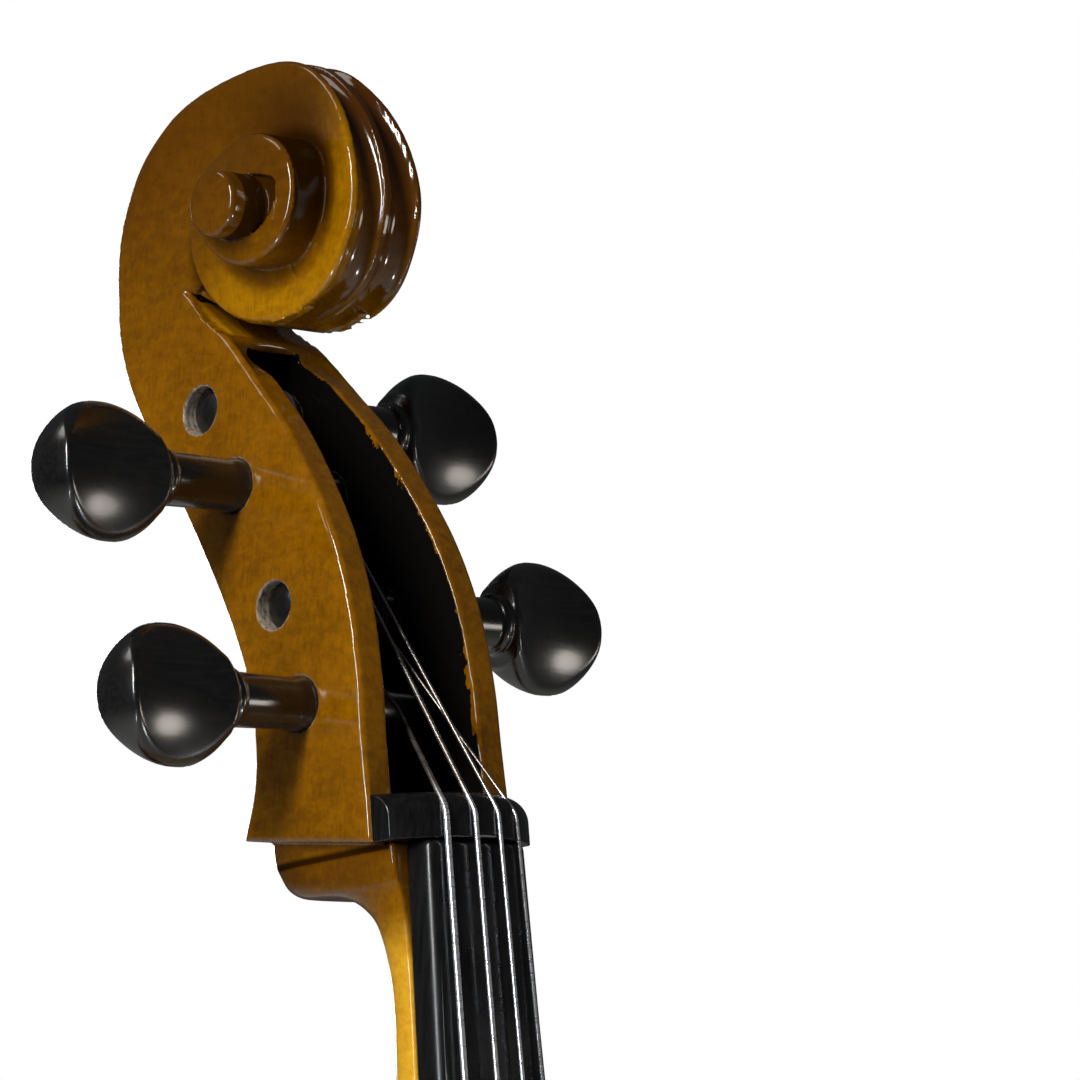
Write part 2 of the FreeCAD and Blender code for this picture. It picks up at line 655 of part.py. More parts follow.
def peg_hole(name):
    """The tapered hole for one peg, through both cheeks."""
    reach = size.pegbox_width
    side = PEG_SIDES[name]
    wide = peg_radius(name, reach) + size.peg_clearance
    narrow = peg_radius(name, -reach) + size.peg_clearance
    return Part.makeCone(wide, narrow, 2 * reach, peg_place(name) + Vector(side * reach, 0, 0),
                         Vector(-side, 0, 0))


def neck_and_scroll():
    hollowed = head_blank().cut(pegbox_cavity())
    half_eye = size.scroll_eye_width / 2
    eye_centre = Vector(-half_eye, size.scroll_centre_depth, size.scroll_centre_height)
    eye = Part.makeCylinder(size.scroll_eye_radius, 2 * half_eye, eye_centre, X_AXIS)
    split = len(INNER_TURN_SHARES) * 2 // 3
    head = hollowed.fuse(inner_turn(0, split)).fuse(inner_turn(split - 1, None)).fuse(eye)
    neck = neck_loft(NECK_STATION_SHARES, NECK_DEPTH_SHARES, True)
    neck = neck.fuse(neck_loft(HEEL_STATION_SHARES, HEEL_DEPTH_SHARES, False))
    neck = neck.fuse(neck_loft(ROOT_STATION_SHARES, ROOT_DEPTH_SHARES, True))
    neck = neck.fuse(chin_blank())
    nut_room = Part.makeBox(2 * size.pegbox_width, size.nut_seat + size.head_depth,
                            size.nut_length,
                            Vector(-size.pegbox_width, -size.head_depth, 0))
    whole = head.fuse(neck).cut(nut_room)
    for name in PEG_SIDES:
        whole = whole.cut(peg_hole(name))
    whole.Placement = neck_frame
    return whole.cut(heel_cutter())


# parametric pieces, whose sketches are bound to the sheet

def cell(expression):
    """The value of an expression written in the sheet's aliases."""
    return float(sheet.evalExpression(expression))


def linked(expression):
    """The expression with every alias pointing at the sheet."""
    return re.sub(r"[a-z]\w+", lambda word: f"Dimensions.{word[0]}", expression)


def bind(thing, prop, expression):
    thing.setExpression(prop, linked(expression))


def new_body(label):
    return doc.addObject("PartDesign::Body", label)


def plane_of(body, role):
    return next(item for item in body.Origin.OriginFeatures if item.Role == role)


def draw(body, role, corners, bends=None):
    """A closed sketch through corners given as expressions; a bend gives a side's radius."""
    sketch = body.newObject("Sketcher::SketchObject", f"{body.Name}_sketch")
    sketch.AttachmentSupport = [(plane_of(body, role), "")]
    sketch.MapMode = "FlatFace"
    points = [Vector(cell(across), cell(up), 0) for across, up in corners]
    bends = bends or {}
    for index, start in enumerate(points):
        end = points[(index + 1) % len(points)]
        if index not in bends:
            sketch.addGeometry(Part.LineSegment(start, end), False)
            continue
        radius = cell(bends[index][0])
        half = (end - start) * 0.5
        away = Vector(-half.y, half.x, 0).normalize() * bends[index][1]
        centre = start + half - away * math.sqrt(radius * radius - half.Length ** 2)
        top = centre + away * radius
        sketch.addGeometry(Part.Arc(start, top, end), False)
    count = len(points)
    ends = {}
    for index in range(count):
        reverse = index in bends and bends[index][1] > 0
        ends[index] = (2, 1) if reverse else (1, 2)
    for index in range(count):
        follower = (index + 1) % count
        sketch.addConstraint(Sketcher.Constraint("Coincident", index, ends[index][1],
                                                 follower, ends[follower][0]))
    for index, (across, up) in enumerate(corners):
        for kind, axis, expression in (("DistanceX", -2, across), ("DistanceY", -1, up)):
            if expression == "0":
                sketch.addConstraint(Sketcher.Constraint("PointOnObject", index,
                                                         ends[index][0], axis))
                continue
            number = sketch.addConstraint(Sketcher.Constraint(kind, index, ends[index][0],
                                                              cell(expression)))
            bind(sketch, f"Constraints[{number}]", expression)
    for index, (radius, _) in bends.items():
        number = sketch.addConstraint(Sketcher.Constraint("Radius", index, cell(radius)))
        bind(sketch, f"Constraints[{number}]", radius)
    return sketch


def turned(label, corners, bends=None):
    """A body turned round its own X axis from a half profile."""
    body = new_body(label)
    sketch = draw(body, "XY_Plane", corners, bends)
    turn = body.newObject("PartDesign::Revolution", f"{label}_turning")
    turn.Profile = sketch
    turn.ReferenceAxis = (plane_of(body, "X_Axis"), [""])
    turn.Angle = 360
    return body


def padded(body, sketch, expression, both_ways=True):
    pad = body.newObject("PartDesign::Pad", f"{body.Name}_pad")
    pad.Profile = sketch
    bind(pad, "Length", expression)
    pad.Midplane = both_ways
    return pad


def pocketed(body, sketch, expression):
    pocket = body.newObject("PartDesign::Pocket", f"{body.Name}_pocket")
    pocket.Profile = sketch
    bind(pocket, "Length", expression)
    pocket.Midplane = True
    return pocket


def make_peg(name):
    """A tapered shank, a double collar and a round head with a hollowed face on each side."""
    tip = f"-(peg_{name}_box - peg_tip_recess)"
    collar = f"(peg_{name}_box + peg_{name}_reach - peg_head_length / 2 - peg_collar_length)"
    head = f"(peg_{name}_box + peg_{name}_reach - peg_head_length / 2)"
    end = f"(peg_{name}_box + peg_{name}_reach + peg_head_length / 2)"
    shank = "peg_shank_diameter / 2 - peg_taper / 2 * (peg_{0}_box - ({1}))"
    waist = "peg_head_diameter * peg_waist_share / 2"
    corners = [(tip, "0"), (tip, shank.format(name, tip)), (collar, shank.format(name, collar)),
               (collar, "peg_collar_diameter / 2"),
               (f"{collar} + peg_collar_length / 2", "peg_collar_diameter / 2"),
               (head, "peg_collar_diameter / 2"), (head, waist),
               (f"{head} + peg_head_length * peg_crown_share", "peg_head_diameter / 2"),
               (end, "0")]
    bead = "peg_collar_length * peg_bead_share"
    rise = "(peg_head_length * (1 - peg_crown_share))"
    crown = f"({rise} ^ 2 + (peg_head_diameter / 2) ^ 2) / (2 * {rise})"
    bends = {3: (bead, 1), 4: (bead, 1), 6: ("peg_head_diameter * peg_waist_round_share", 1),
             7: (crown, 1)}
    body = turned(f"peg_{name}", corners, bends)
    middle = f"(peg_{name}_box + peg_{name}_reach)"
    depth = "(peg_web / 2 + peg_scoop_radius)"
    for side in ("-", ""):
        scoop = body.newObject("Sketcher::SketchObject", f"peg_{name}_scoop")
        scoop.AttachmentSupport = [(plane_of(body, "XY_Plane"), "")]
        scoop.MapMode = "FlatFace"
        scoop.addGeometry(Part.Circle(Vector(cell(middle), cell(side + depth), 0),
                                      Vector(0, 0, 1), cell("peg_scoop_radius")), False)
        for kind, point, expression in (("DistanceX", 3, middle), ("DistanceY", 3, side + depth)):
            number = scoop.addConstraint(Sketcher.Constraint(kind, 0, point, cell(expression)))
            bind(scoop, f"Constraints[{number}]", expression)
        number = scoop.addConstraint(Sketcher.Constraint("Radius", 0, cell("peg_scoop_radius")))
        bind(scoop, f"Constraints[{number}]", "peg_scoop_radius")
        pocketed(body, scoop, "peg_head_diameter * 2")
    turn = Rotation(Z_AXIS, 180) if PEG_SIDES[name] < 0 else Rotation()
    place = Placement(in_neck(0, peg_place(name).y, peg_place(name).z),
                      neck_frame.Rotation.multiply(turn))
    return keep(body, f"peg_{name}", place)


def make_nut():
    """A block with an arched top, rounded where the strings drop into the pegbox."""
    half = "nut_width / 2"
    crest = "(board_side + board_crown_nut + nut_rise)"
    body = new_body("nut")
    sketch = draw(body, "XY_Plane", [(f"-{half}", "nut_seat"), (f"-{half}", "-nut_end_height"),
                                     (half, "-nut_end_height"), (half, "nut_seat")],
                  {1: (f"({half} * {half} + ({crest} - nut_end_height) ^ 2)"
                       f" / (2 * ({crest} - nut_end_height))", -1)})
    pad = padded(body, sketch, "nut_length", False)
    doc.recompute()
    edge = next(index for index, item in enumerate(pad.Shape.Edges, start=1)
                if isinstance(item.Curve, Part.Circle)
                and item.CenterOfMass.z > size.nut_length / 2)
    rounding = body.newObject("PartDesign::Fillet", "nut_rounding")
    rounding.Base = (pad, [f"Edge{edge}"])
    bind(rounding, "Radius", "nut_round")
    return keep(body, "nut", neck_frame)


def board_section(width, up):
    """The fingerboard's cross-section: flat glue face, upright sides and an arched top."""
    half = width / 2
    crest = size.board_side + size.board_radius - math.sqrt(size.board_radius ** 2 - half ** 2)
    corners = [Vector(half, 0, up), Vector(half, -size.board_side, up),
               Vector(-half, -size.board_side, up), Vector(-half, 0, up)]
    edges = [Part.LineSegment(corners[0], corners[1]).toShape(),
             Part.Arc(corners[1], Vector(0, -crest, up), corners[2]).toShape(),
             Part.LineSegment(corners[2], corners[3]).toShape(),
             Part.LineSegment(corners[3], corners[0]).toShape()]
    return Part.Wire(edges)


def fingerboard():
    """A long wedge, arched on top, and hollowed underneath where it passes the neck."""
    whole = Part.makeLoft([board_section(size.board_width_nut, 0),
                           board_section(size.board_width_end, -board_length)], True, True)
    radius = size.board_hollow_radius
    end = Vector(0, radius - size.board_hollow_depth, -board_length - size.overrun)
    length = board_length + size.overrun - size.neck_stop - size.board_hollow_start
    hollow = Part.makeCylinder(radius, length, end, Z_AXIS)
    return keep_shape("fingerboard", whole.cut(hollow), neck_frame)


# strings

STRING_SHARES = {"c": -1, "g": -1 / 3, "d": 1 / 3, "a": 1}


def string_radius(name):
    return getattr(size, f"string_{name}_diameter") / 2


def arch_drop(radius, across):
    """How far an arch of this radius falls away beside its crest."""
    return radius - math.sqrt(radius ** 2 - across ** 2)


def rounded_route(points, radii):
    """Straight runs through the points, joined by tangent arcs at the inner ones."""
    edges = []
    start = points[0]
    for before, corner_point, after, radius in zip(points, points[1:], points[2:], radii):
        arriving = (corner_point - before).normalize()
        leaving = (after - corner_point).normalize()
        half_turn = arriving.getAngle(leaving) / 2
        reach = radius * math.tan(half_turn)
        inward = (leaving - arriving).normalize()
        first = corner_point - arriving * reach
        last = corner_point + leaving * reach
        middle = corner_point + inward * (radius / math.cos(half_turn) - radius)
        edges += [Part.LineSegment(start, first).toShape(), Part.Arc(first, middle, last).toShape()]
        start = last
    edges.append(Part.LineSegment(start, points[-1]).toShape())
    return edges


def tube(edges, radius, start, direction):
    """A round tube along joined edges; its volume is set against its section and length."""
    path = Part.Wire(edges)
    outline = Part.Wire(Part.makeCircle(radius, start, direction))
    solid = path.makePipeShell([outline], True, False)
    wanted = math.pi * radius ** 2 * path.Length
    print(f"tube of radius {radius:.2f}: volume {solid.Volume / wanted:.4f} of its path's")
    return solid


def string_x(name, spread):
    return STRING_SHARES[name] * spread / 2


def peg_winding_x(name):
    """Where a string first meets its peg: on the peg's own side of the pegbox's middle."""
    return PEG_SIDES[name] * size.winding_start


def wrap_radius(name, x, gap):
    """Distance from a peg's axis to the middle of a string that goes round it."""
    return peg_radius(name, abs(x)) + gap + string_radius(name)


def string_solid(name):
    """One string: tuner, bridge, nut, and half a turn round its peg."""
    radius = string_radius(name)
    across = string_x(name, size.string_spread_bridge)
    tail_x = string_x(name, 3 * size.tuner_pitch)
    tail = tail_frame.multVec(Vector(tail_x, 0, tail_tuner_z + size.string_end_gap
                                     - size.tuner_lever_thickness / 2))
    lift = radius + size.string_bridge_lift
    over_bridge = Vector(across, bridge_top_y + arch_drop(size.bridge_top_radius, across) - lift,
                         bridge_z)
    nut_x = string_x(name, size.string_spread_nut)
    crest = size.board_side + arch_drop(size.board_radius, size.board_width_nut / 2)
    crest += size.nut_rise
    nut_radius = ((size.nut_width / 2) ** 2 + (crest - size.nut_end_height) ** 2)
    nut_radius = nut_radius / (2 * (crest - size.nut_end_height))
    bend = size.nut_round + radius
    nut_centre = Vector(0, size.nut_round - crest + arch_drop(nut_radius, nut_x),
                        size.nut_length - size.nut_round)
    peg_x = peg_winding_x(name)
    peg = peg_place(name)
    wrap = wrap_radius(name, peg_x, size.string_peg_gap)
    gap = peg - nut_centre
    slope = math.atan2(gap.z, gap.y) - math.asin((bend - wrap) / gap.Length)
    leaving = Vector(0, math.cos(slope), math.sin(slope))
    outward = Vector(0, -math.sin(slope), math.cos(slope))
    local_bridge = neck_frame.inverse().multVec(over_bridge)
    arriving = nut_centre - local_bridge
    arriving = Vector(0, arriving.y - bend, arriving.z).normalize()
    upright = Vector(0, -arriving.z, arriving.y)
    spread = (upright + outward).normalize()
    over_nut = nut_centre + spread * (bend / math.cos(upright.getAngle(outward) / 2))
    over_nut.x = nut_x
    touch = peg + outward * wrap
    touch.x = peg_x
    near_peg = touch - leaving * size.string_lead
    points = [tail, over_bridge] + [neck_frame.multVec(point)
                                    for point in (over_nut, near_peg, touch)]
    edges = rounded_route(points, (size.string_bend, bend, size.string_bend))
    start_angle = slope + math.pi / 2

    def on_peg(turn):
        angle = start_angle - turn * 2 * math.pi
        return neck_frame.multVec(Vector(peg_x, peg.y + wrap * math.cos(angle),
                                         peg.z + wrap * math.sin(angle)))
    for quarter in range(2):
        edges.append(Part.Arc(*[on_peg((quarter + part) / 4) for part in (0, 0.5, 1)]).toShape())
    return tube(edges, radius, tail, over_bridge - tail)


def biarc(start, start_way, end, end_way):
    """Two arcs that leave one point and reach another along given directions."""
    chord = end - start
    ways = start_way + end_way
    bend = 1 - start_way.dot(end_way)
    along = chord.dot(ways)
    reach = (math.sqrt(along ** 2 + 2 * bend * chord.dot(chord)) - along) / (2 * bend)
    knots = [start, start + start_way * reach, end - end_way * reach, end]
    middle = (knots[1] + knots[2]) * 0.5
    arcs = []
    for first, control, last in ((start, knots[1], middle), (middle, knots[2], end)):
        weight = (last - first).Length / (2 * reach)
        top = (first + control * (2 * weight) + last) * (1 / (2 + 2 * weight))
        arcs.append(Part.Arc(first, top, last).toShape())
    return arcs


GAP_SAMPLES = 24


def winding_solid(name):
    """The turns of a string on its peg, as one unbroken tube."""
    radius = string_radius(name)
    pitch = 2 * radius + size.winding_gap
    side = PEG_SIDES[name]
    first_x = peg_winding_x(name) + side * (2 * radius + size.winding_gap)
    peg = peg_place(name)
    turns = getattr(size, f"winding_{name}_turns")
    wrap = wrap_radius(name, first_x + side * pitch * turns, size.running_clearance)
    steep = math.atan2(pitch, 2 * math.pi * wrap)

    def at(turn):
        angle = turn * 2 * math.pi
        return Vector(first_x + side * pitch * turn, peg.y + wrap * math.cos(angle),
                      peg.z - wrap * math.sin(angle))

    def way(turn):
        angle = turn * 2 * math.pi
        return Vector(side * math.sin(steep), -math.cos(steep) * math.sin(angle),
                      -math.cos(steep) * math.cos(angle))
    halves = round(turns * 2)
    start = at(0) - way(0) * 2 * radius
    edges = [Part.LineSegment(start, at(0)).toShape()]
    for half in range(halves):
        edges += biarc(at(half / 2), way(half / 2), at(half / 2 + 0.5), way(half / 2 + 0.5))
    last = at(halves / 2)
    edges.append(Part.LineSegment(last, last + way(halves / 2) * 2 * radius).toShape())
    least = min((at(step / GAP_SAMPLES) - at((step + shift) / GAP_SAMPLES + 1)).Length
                for step in range(GAP_SAMPLES) for shift in (-1, 0, 1)) - 2 * radius
    print(f"winding_{name}: least gap between its turns {least:.2f} mm")
    return tube(edges, radius, start, way(0))


# soundbox

def ring(outer_inset, inner_inset, y_from, y_to):
    """A strip that follows the outline between two insets."""
    low, high = sorted((y_from, y_to))
    return slab(inset_face(outer_inset), low, high).cut(
        slab(inset_face(inner_inset), low - size.overrun, high + size.overrun))


def room(x_from, x_to, y_from, y_to, z_from, z_to):
    """A box between named places."""
    return Part.makeBox(x_to - x_from, y_to - y_from, z_to - z_from,
                        Vector(x_from, y_from, z_from))


def purfling(direction, past_face=0):
    """The inlaid strip that follows the edge of a plate, flush with its face or past it."""
    level = direction * (half_rib + size.edge_thickness)
    return ring(size.purfling_inset, size.purfling_inset + size.purfling_width,
                level - direction * size.purfling_depth, level + direction * past_face)


def make_plates(neck):
    """Top and back, with the inlay's groove; the top has its two sound holes and neck notch."""
    top = plate(top_arch, -1, front_edge, size.top_thickness, False)
    for side in SIDES.values():
        top = top.cut(sound_hole(side))
    top = main_solid(top.cut(purfling(-1, size.overrun)).cut(neck))
    back = main_solid(plate(back_arch, 1, back_edge, size.back_thickness, True)
                      .cut(purfling(1, size.overrun)))
    keep_shape("top_plate", top)
    keep_shape("back_plate", back)
    keep_shape("purfling_top", purfling(-1).cut(neck))
    keep_shape("purfling_back", purfling(1))


def make_ribs(neck, plug):
    """Six ribs, met at the corners and at the middle of both ends."""
    whole = ring(size.edge_overhang, size.edge_overhang + size.rib_thickness, -half_rib, half_rib)
    whole = whole.cut(neck).cut(plug)
    reach = size.lower_bout_width
    spans = {"lower": (body_bottom - size.overrun, lower_split), "waist": (lower_split, upper_split),
             "upper": (upper_split, body_top + size.overrun)}
    for span, (low, high) in spans.items():
        for name, side in SIDES.items():
            x_from, x_to = sorted((0, side * reach))
            piece = whole.common(room(x_from, x_to, -reach, reach, low, high))
            keep_shape(f"rib_{span}_{name}", main_solid(piece))


def corner_split(bout, waist):
    """Height at which two ribs part at a corner."""
    return (last_point(bout).z + last_point(waist).z) / 2


lower_split = corner_split(lower_bout, waist_low)
upper_split = corner_split(upper_bout, waist_high)


def make_blocks(neck, plug):
    """End blocks, corner blocks and the linings between them."""
    inner = size.edge_overhang + size.rib_thickness
    core = slab(inset_face(inner), -half_rib, half_rib)
    reach = size.lower_bout_width
    upper = core.common(room(-size.upper_block_width / 2, size.upper_block_width / 2,
                             -reach, reach, body_top - inner - size.upper_block_depth, body_top))
    lower = core.common(room(-size.lower_block_width / 2, size.lower_block_width / 2,
                             -reach, reach, body_bottom, body_bottom + inner
                             + size.lower_block_depth))
    blocks = {"upper_block": main_solid(upper.cut(neck)),
              "lower_block": main_solid(lower.cut(plug))}
    for span, tip in (("lower", lower_tip), ("upper", upper_tip)):
        for name, side in SIDES.items():
            centre = Vector(side * tip.x, -half_rib, tip.z)
            drum = Part.makeCylinder(size.corner_block_reach, 2 * half_rib, centre, Y_AXIS)
            blocks[f"corner_block_{span}_{name}"] = main_solid(core.common(drum))
    strip = ring(inner, inner + size.lining_thickness, -half_rib, half_rib)
    for block in blocks.values():
        strip = strip.cut(block)
    strip = strip.cut(neck).cut(plug)
    for name, low in (("front", -half_rib), ("back", half_rib - size.lining_height)):
        keep_shape(f"lining_{name}", strip.common(room(-reach, reach, low,
                                                       low + size.lining_height, 0,
                                                       2 * body_top)))
    for label, block in blocks.items():
        keep_shape(label, block)


def under_top():
    """The room behind the top plate's inner surface."""
    reach = size.lower_bout_width
    box = room(-reach, reach, -half_rib - size.top_arch - size.overrun, half_rib,
               body_bottom, body_top)
    return box.cut(beyond(top_arch, front_edge + size.top_thickness, -1))


def bass_bar(inside):
    """A long bar glued under the top on the bass side, deepest below the bridge."""
    half = size.bass_bar_length / 2
    deep = top_inner_y(size.bass_bar_offset, bridge_z) + size.bass_bar_depth
    end = top_inner_y(size.bass_bar_offset, bridge_z + half) + size.bass_bar_end_depth
    low = Vector(0, end, bridge_z - half)
    crown = Part.Arc(low, Vector(0, deep, bridge_z), Vector(0, end, bridge_z + half)).toShape()
    ahead = -half_rib - size.top_arch - size.overrun
    corners = [Vector(0, end, bridge_z + half), Vector(0, ahead, bridge_z + half),
               Vector(0, ahead, bridge_z - half), low]
    sides = [Part.LineSegment(first, last).toShape() for first, last in zip(corners, corners[1:])]
    face = Part.Face(Part.Wire([crown] + sides))
    face.translate(Vector(-size.bass_bar_offset - size.bass_bar_width / 2, 0, 0))
    return main_solid(face.extrude(Vector(size.bass_bar_width, 0, 0)).common(inside))


def top_inner_y(x, z):
    return front_edge + size.top_thickness - top_arch(x, z)


def sound_post(inside):
    """A dowel stood between top and back, just behind the bridge's treble foot."""
    z = bridge_z - size.sound_post_setback
    rod = Part.makeCylinder(size.sound_post_diameter / 2, 4 * half_rib,
                            Vector(size.sound_post_offset, -2 * half_rib, z), Y_AXIS)
    behind = beyond(back_arch, back_edge - size.back_thickness, 1)
    return main_solid(rod.common(under_everything(inside)).cut(behind))


def under_everything(inside):
    """The soundbox's room carried on into the back plate's arch."""
    reach = size.lower_bout_width
    more = room(-reach, reach, 0, half_rib + size.back_arch, body_bottom, body_top)
    return inside.fuse(more)


# bridge, tailpiece and saddle

BRIDGE_HALF_SHARES = ((0.9, 0), (1, 0.0), (1, 0.06), (0.86, 0.1), (0.78, 0.16), (0.66, 0.33),
                      (0.83, 0.42), (0.83, 0.47), (0.62, 0.55), (0.66, 0.8))
BRIDGE_LEG_SHARES = ((0.66, 0), (0.6, 0.09), (0.5, 0.24))
BRIDGE_ARCH_SHARE = 0.37
KIDNEY_SHARES = (0.47, 0.49, 0.085)
HEART_SHARES = (0, 0.55, 0.12)


def bridge():
    """A carved bridge whose feet follow the top's arching, thinned towards the strings."""
    half = size.bridge_width / 2
    crest = size.bridge_height
    level = bridge_top_y + crest

    def at(share):
        return Vector(share[0] * half, level - share[1] * crest, 0)
    deep = size.top_arch
    outside = [at(share) for share in BRIDGE_HALF_SHARES[1:]]
    outside[0].y += deep
    leg = [at(share) for share in BRIDGE_LEG_SHARES]
    leg[0].y += deep
    edge_x = size.string_spread_bridge / 2 + size.bridge_shoulder
    top_end = Vector(edge_x, bridge_top_y + arch_drop(size.bridge_top_radius, edge_x), 0)
    right = outside + [top_end]
    mirror_left = [Vector(-point.x, point.y, 0) for point in right]
    leg_left = [Vector(-point.x, point.y, 0) for point in leg]
    crown = Part.Arc(right[-1], Vector(0, bridge_top_y, 0), mirror_left[-1]).toShape()
    hollow = Part.Arc(leg_left[-1], at((0, BRIDGE_ARCH_SHARE)), leg[-1]).toShape()

    def run(points):
        return [Part.LineSegment(first, last).toShape() for first, last in zip(points, points[1:])]
    edges = (run(right) + [crown] + run(mirror_left[::-1]) + run([mirror_left[0], leg_left[0]])
             + run(leg_left) + [hollow] + run(leg[::-1]) + run([leg[0], right[0]]))
    face = Part.Face(Part.Wire(edges))
    for share in (HEART_SHARES, KIDNEY_SHARES, (-KIDNEY_SHARES[0],) + KIDNEY_SHARES[1:]):
        hole = Part.Face(Part.Wire(Part.makeCircle(share[2] * crest, at(share), Z_AXIS)))
        face = face.cut(hole)
    face.translate(Vector(0, 0, bridge_z - size.bridge_foot_thickness))
    solid = face.extrude(Vector(0, 0, 2 * size.bridge_foot_thickness))
    foot = size.bridge_foot_thickness / 2
    tip = size.bridge_top_thickness / 2
    low_y = level + deep
    side = [Vector(0, low_y, bridge_z - foot), Vector(0, level, bridge_z - foot),
            Vector(0, bridge_top_y - size.overrun, bridge_z - tip),
            Vector(0, bridge_top_y - size.overrun, bridge_z + tip),
            Vector(0, level, bridge_z + foot), Vector(0, low_y, bridge_z + foot)]
    wedge = Part.Face(Part.makePolygon(side + side[:1]))
    wedge.translate(Vector(-size.bridge_width, 0, 0))
    solid = solid.common(wedge.extrude(Vector(2 * size.bridge_width, 0, 0)))
    return solid.common(beyond(top_arch, front_edge, -1))


def tail_section(width, up, thickness):
    """The tailpiece's cross-section: arched on top, flatter underneath."""
    half = width / 2
    drop = arch_drop(size.tailpiece_camber, half)
    rim = size.tailpiece_drop + drop
    corners = [Vector(half, rim, up), Vector(-half, rim, up),
               Vector(-half, rim + size.tailpiece_rim, up), Vector(half, rim + size.tailpiece_rim, up)]
    under = Vector(0, size.tailpiece_drop + thickness, up)
    edges = [Part.Arc(corners[0], Vector(0, size.tailpiece_drop, up), corners[1]).toShape(),
             Part.LineSegment(corners[1], corners[2]).toShape(),
             Part.Arc(corners[2], under, corners[3]).toShape(),
             Part.LineSegment(corners[3], corners[0]).toShape()]
    return Part.Wire(edges)


def tuner_x(name):
    return string_x(name, 3 * size.tuner_pitch)


def tail_cylinder(x, radius, depth_from, depth_to, up):
    """A round rod or hole through the tailpiece, square to its face."""
    return Part.makeCylinder(radius, depth_to - depth_from, Vector(x, depth_from, up), Y_AXIS)


def axle(half_length, radius):
    """The rod that carries the four tuner levers, from side to side."""
    return Part.makeCylinder(radius, 2 * half_length,
                             Vector(-half_length, size.tuner_axle_depth, tail_tuner_z), X_AXIS)


def tailpiece():
    """The tailpiece, with a slot for each built-in tuner, an axle hole and the gut's holes."""
    low = size.tail_gap
    high = size.tail_gap + size.tailpiece_length
    below = size.tailpiece_drop + size.tailpiece_thickness + size.overrun
    solid = Part.makeLoft([tail_section(size.tailpiece_narrow, low, size.tailpiece_thickness),
                           tail_section(size.tailpiece_wide, high, size.tailpiece_thickness)],
                          True, True)
    half = size.tuner_lever_width / 2 + size.tuner_side_gap
    lever_top = size.tuner_axle_depth - size.tuner_lever_thickness / 2
    reach = size.tuner_lever_thickness / 2 + size.tuner_end_gap
    for name in STRING_SHARES:
        x = tuner_x(name)
        channel_top = lever_top - size.tuner_side_gap
        solid = solid.cut(room(x - half, x + half, channel_top, below,
                               tail_tuner_z - size.tuner_arm_length - size.tuner_end_gap,
                               tail_tuner_z + reach))
        solid = solid.cut(room(x - half, x + half, -size.overrun, below,
                               tail_tuner_z - size.tuner_ball_diameter - reach,
                               tail_tuner_z + reach))
        solid = solid.cut(tail_cylinder(x, size.tuner_shank_diameter / 2 + size.running_clearance,
                                        -size.overrun, below, tail_screw_z))
    solid = solid.cut(axle(size.tailpiece_wide, size.tuner_axle_diameter / 2))
    for side in SIDES.values():
        hole = Vector(side * size.tailgut_spread / 2, size.tailgut_depth, low - size.overrun)
        solid = solid.cut(Part.makeCylinder(size.tailgut_diameter / 2,
                                            size.tailgut_grip + size.overrun, hole, Z_AXIS))
    solid.Placement = tail_frame
    return main_solid(solid)


